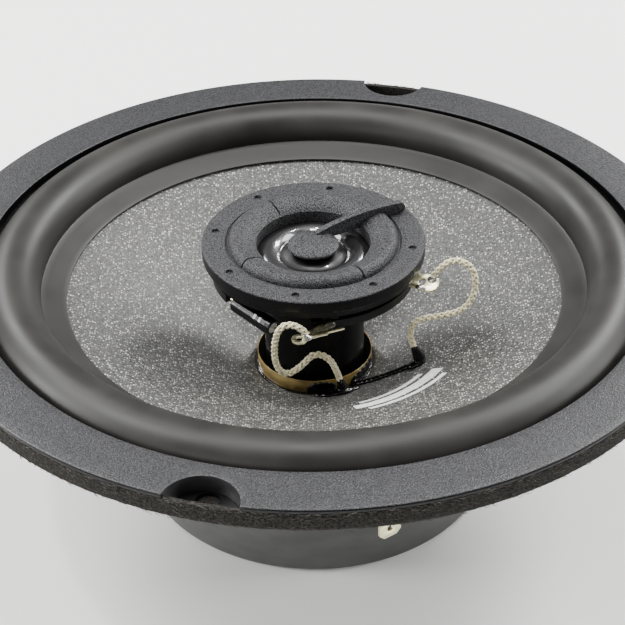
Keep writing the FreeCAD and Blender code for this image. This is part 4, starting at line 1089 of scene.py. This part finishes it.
def lumped(name, lumps, voxel, passes):
    """Melts ellipsoids, given by their centre, half sizes and turn, into one smooth lump."""
    parts = []
    for centre, sizes, turn in lumps:
        bpy.ops.mesh.primitive_uv_sphere_add(segments=24, ring_count=16, radius=MM)
        part = bpy.context.object
        part.scale = sizes
        placed(part, turn, Vector(centre) * MM)
        parts.append(part)
    lump = joined(name, parts)
    modified(lump, "REMESH", mode="VOXEL", voxel_size=voxel * MM)
    modified(lump, "SMOOTH", factor=0.6, iterations=passes)
    smooth(lump, 80)
    return lump


tab_glue = lumped("clear_tab_glue", [
    ((1.6, -22.5, 1.9), (2.0, 0.7, 0.8), (0, 0, 0.35)),
    ((-0.3, -23.3, 1.6), (1.5, 0.6, 0.5), (0, 0, 0.35)),
    ((3.2, -22.1, 2.3), (1.3, 0.6, 0.9), (0, 0, 0.35))], 0.14, 4)
# Tab glue: greenish, clear and wet.
amber_glue = finish_named("greenish_clear_adhesive", "#6A6648", 0.08, Transmission_Weight=0.7,
                          Coat_Weight=0.5)
grained(amber_glue, 1.0, 0.06)
finished(tab_glue, amber_glue, "frame", "clear_glue")

# Solder: bright silver with frosted patches.
solder_metal = finish_named("bright_tin_solder", "#D9D8D0", 0.2, Metallic=1.0)
grained(solder_metal, 0.5, 0.04, rough=(0.14, 0.36), detail=3.0)
joints = lumped("solder_lumps", [
    ((-1.6, -25.0, 1.4), (1.15, 1.0, 0.75), (0, 0, 0)),
    ((-2.0, -25.1, 2.1), (0.9, 0.85, 0.6), (0, 0.5, 0)),
    ((25.2, -8.0, 3.9), (1.15, 1.0, 0.6), (0, 0, 0)),
    ((25.6, -8.0, 4.6), (0.85, 0.85, 0.6), (0, -0.5, 0)),
    ((22.6, -9.6, 3.0), (1.2, 0.8, 0.55), (0, 0, -0.3))], 0.12, 4)
finished(joints, solder_metal, "frame", "solder", "solder_joints")


def on_cone(radius, angle, lift=0.0):
    """A point over the cone's front, in millimetres, from its radius, angle and lift."""
    turn = radians(angle)
    return (radius * cos(turn), radius * sin(turn), cone_front(radius) + lift)


def settled(radius, angle, sizes, lift=0.1):
    """An ellipsoid that lies on the cone; sizes run outwards, around and up."""
    slope = atan((cone_front(radius + 0.5) - cone_front(radius - 0.5)))
    return on_cone(radius, angle, lift), sizes, (0, -slope, radians(angle))


left_foot = Vector(LEFT_ROUTE[-1]) / MM
right_foot = Vector(RIGHT_ROUTE[-1]) / MM
(left_r, left_deg), (right_r, right_deg) = [
    (hypot(foot.x, foot.y), degrees(atan2(foot.y, foot.x)))
    for foot in (left_foot, right_foot)]
spread = [settled(left_r, left_deg, (2.0, 3.0, 1.0), 0.4),
          settled(left_r - 0.3, left_deg - 9, (1.8, 2.4, 0.8), 0.3),
          settled(left_r - 0.6, left_deg - 16, (1.3, 1.8, 0.6), 0.2),
          settled(left_r, left_deg + 9, (1.2, 2.0, 0.6), 0.2),
          settled(right_r, right_deg, (1.6, 1.9, 0.9), 0.4),
          settled(right_r - 1.0, right_deg - 2, (1.6, 1.5, 0.8), 0.35)]
LEFT_ROOT = ((0.2, 1.15), (0.9, 1.0), (1.6, 0.85), (2.3, 0.74))
RIGHT_ROOT = ((0.2, 1.4), (0.9, 1.25), (1.7, 1.1), (2.5, 0.95), (3.3, 0.82))
for foot, route, root in ((left_foot, LEFT_ROUTE, LEFT_ROOT), (right_foot, RIGHT_ROUTE, RIGHT_ROOT)):
    up_lead = (Vector(route[-2]) / MM - foot).normalized()
    for rise, size in root:
        spread.append((tuple(foot + up_lead * rise), (size, size, size), (0, 0, 0)))
SMEAR_R = 12.9
for angle, height, wide in ((-95, 0.8, 0.9), (-90, 1.5, 1.0), (-85, 1.7, 1.1), (-79, 1.6, 1.1),
                            (-74, 1.2, 1.1), (-47, 0.9, 1.2), (-41, 1.3, 1.3), (-34, 1.6, 1.3),
                            (-27, 1.8, 1.3), (-20, 2.0, 1.2)):
    turn = radians(angle)
    spread.append((on_cone(SMEAR_R, angle, height), (0.4, wide, 1.6), (0, 0, turn)))
TRAIL_STEPS = 14
for step in range(1, TRAIL_STEPS + 1):
    share = step / TRAIL_STEPS
    radius = right_r + (13.7 - right_r) * share
    angle = right_deg - 24 * share ** 1.3
    swell = 0.85 + 0.3 * abs(share - 0.45)
    spread.append(settled(radius, angle, (swell, 0.9, 0.7 * swell), 0.3))
glue_lumps = lumped("black_lead_glue", spread, 0.16, 5)
# Black glue: the blackest part, with sharp small glints.
black_glue = finish_named("glossy_black_adhesive", "#030303", 0.12, Specular_IOR_Level=0.35)
grained(black_glue, 2.5, 0.04, rough=(0.1, 0.2))
finished(glue_lumps, black_glue, "cone_assembly", "black_glue", "lead_glue")
coat(black_glue, "rear_lead_glue")
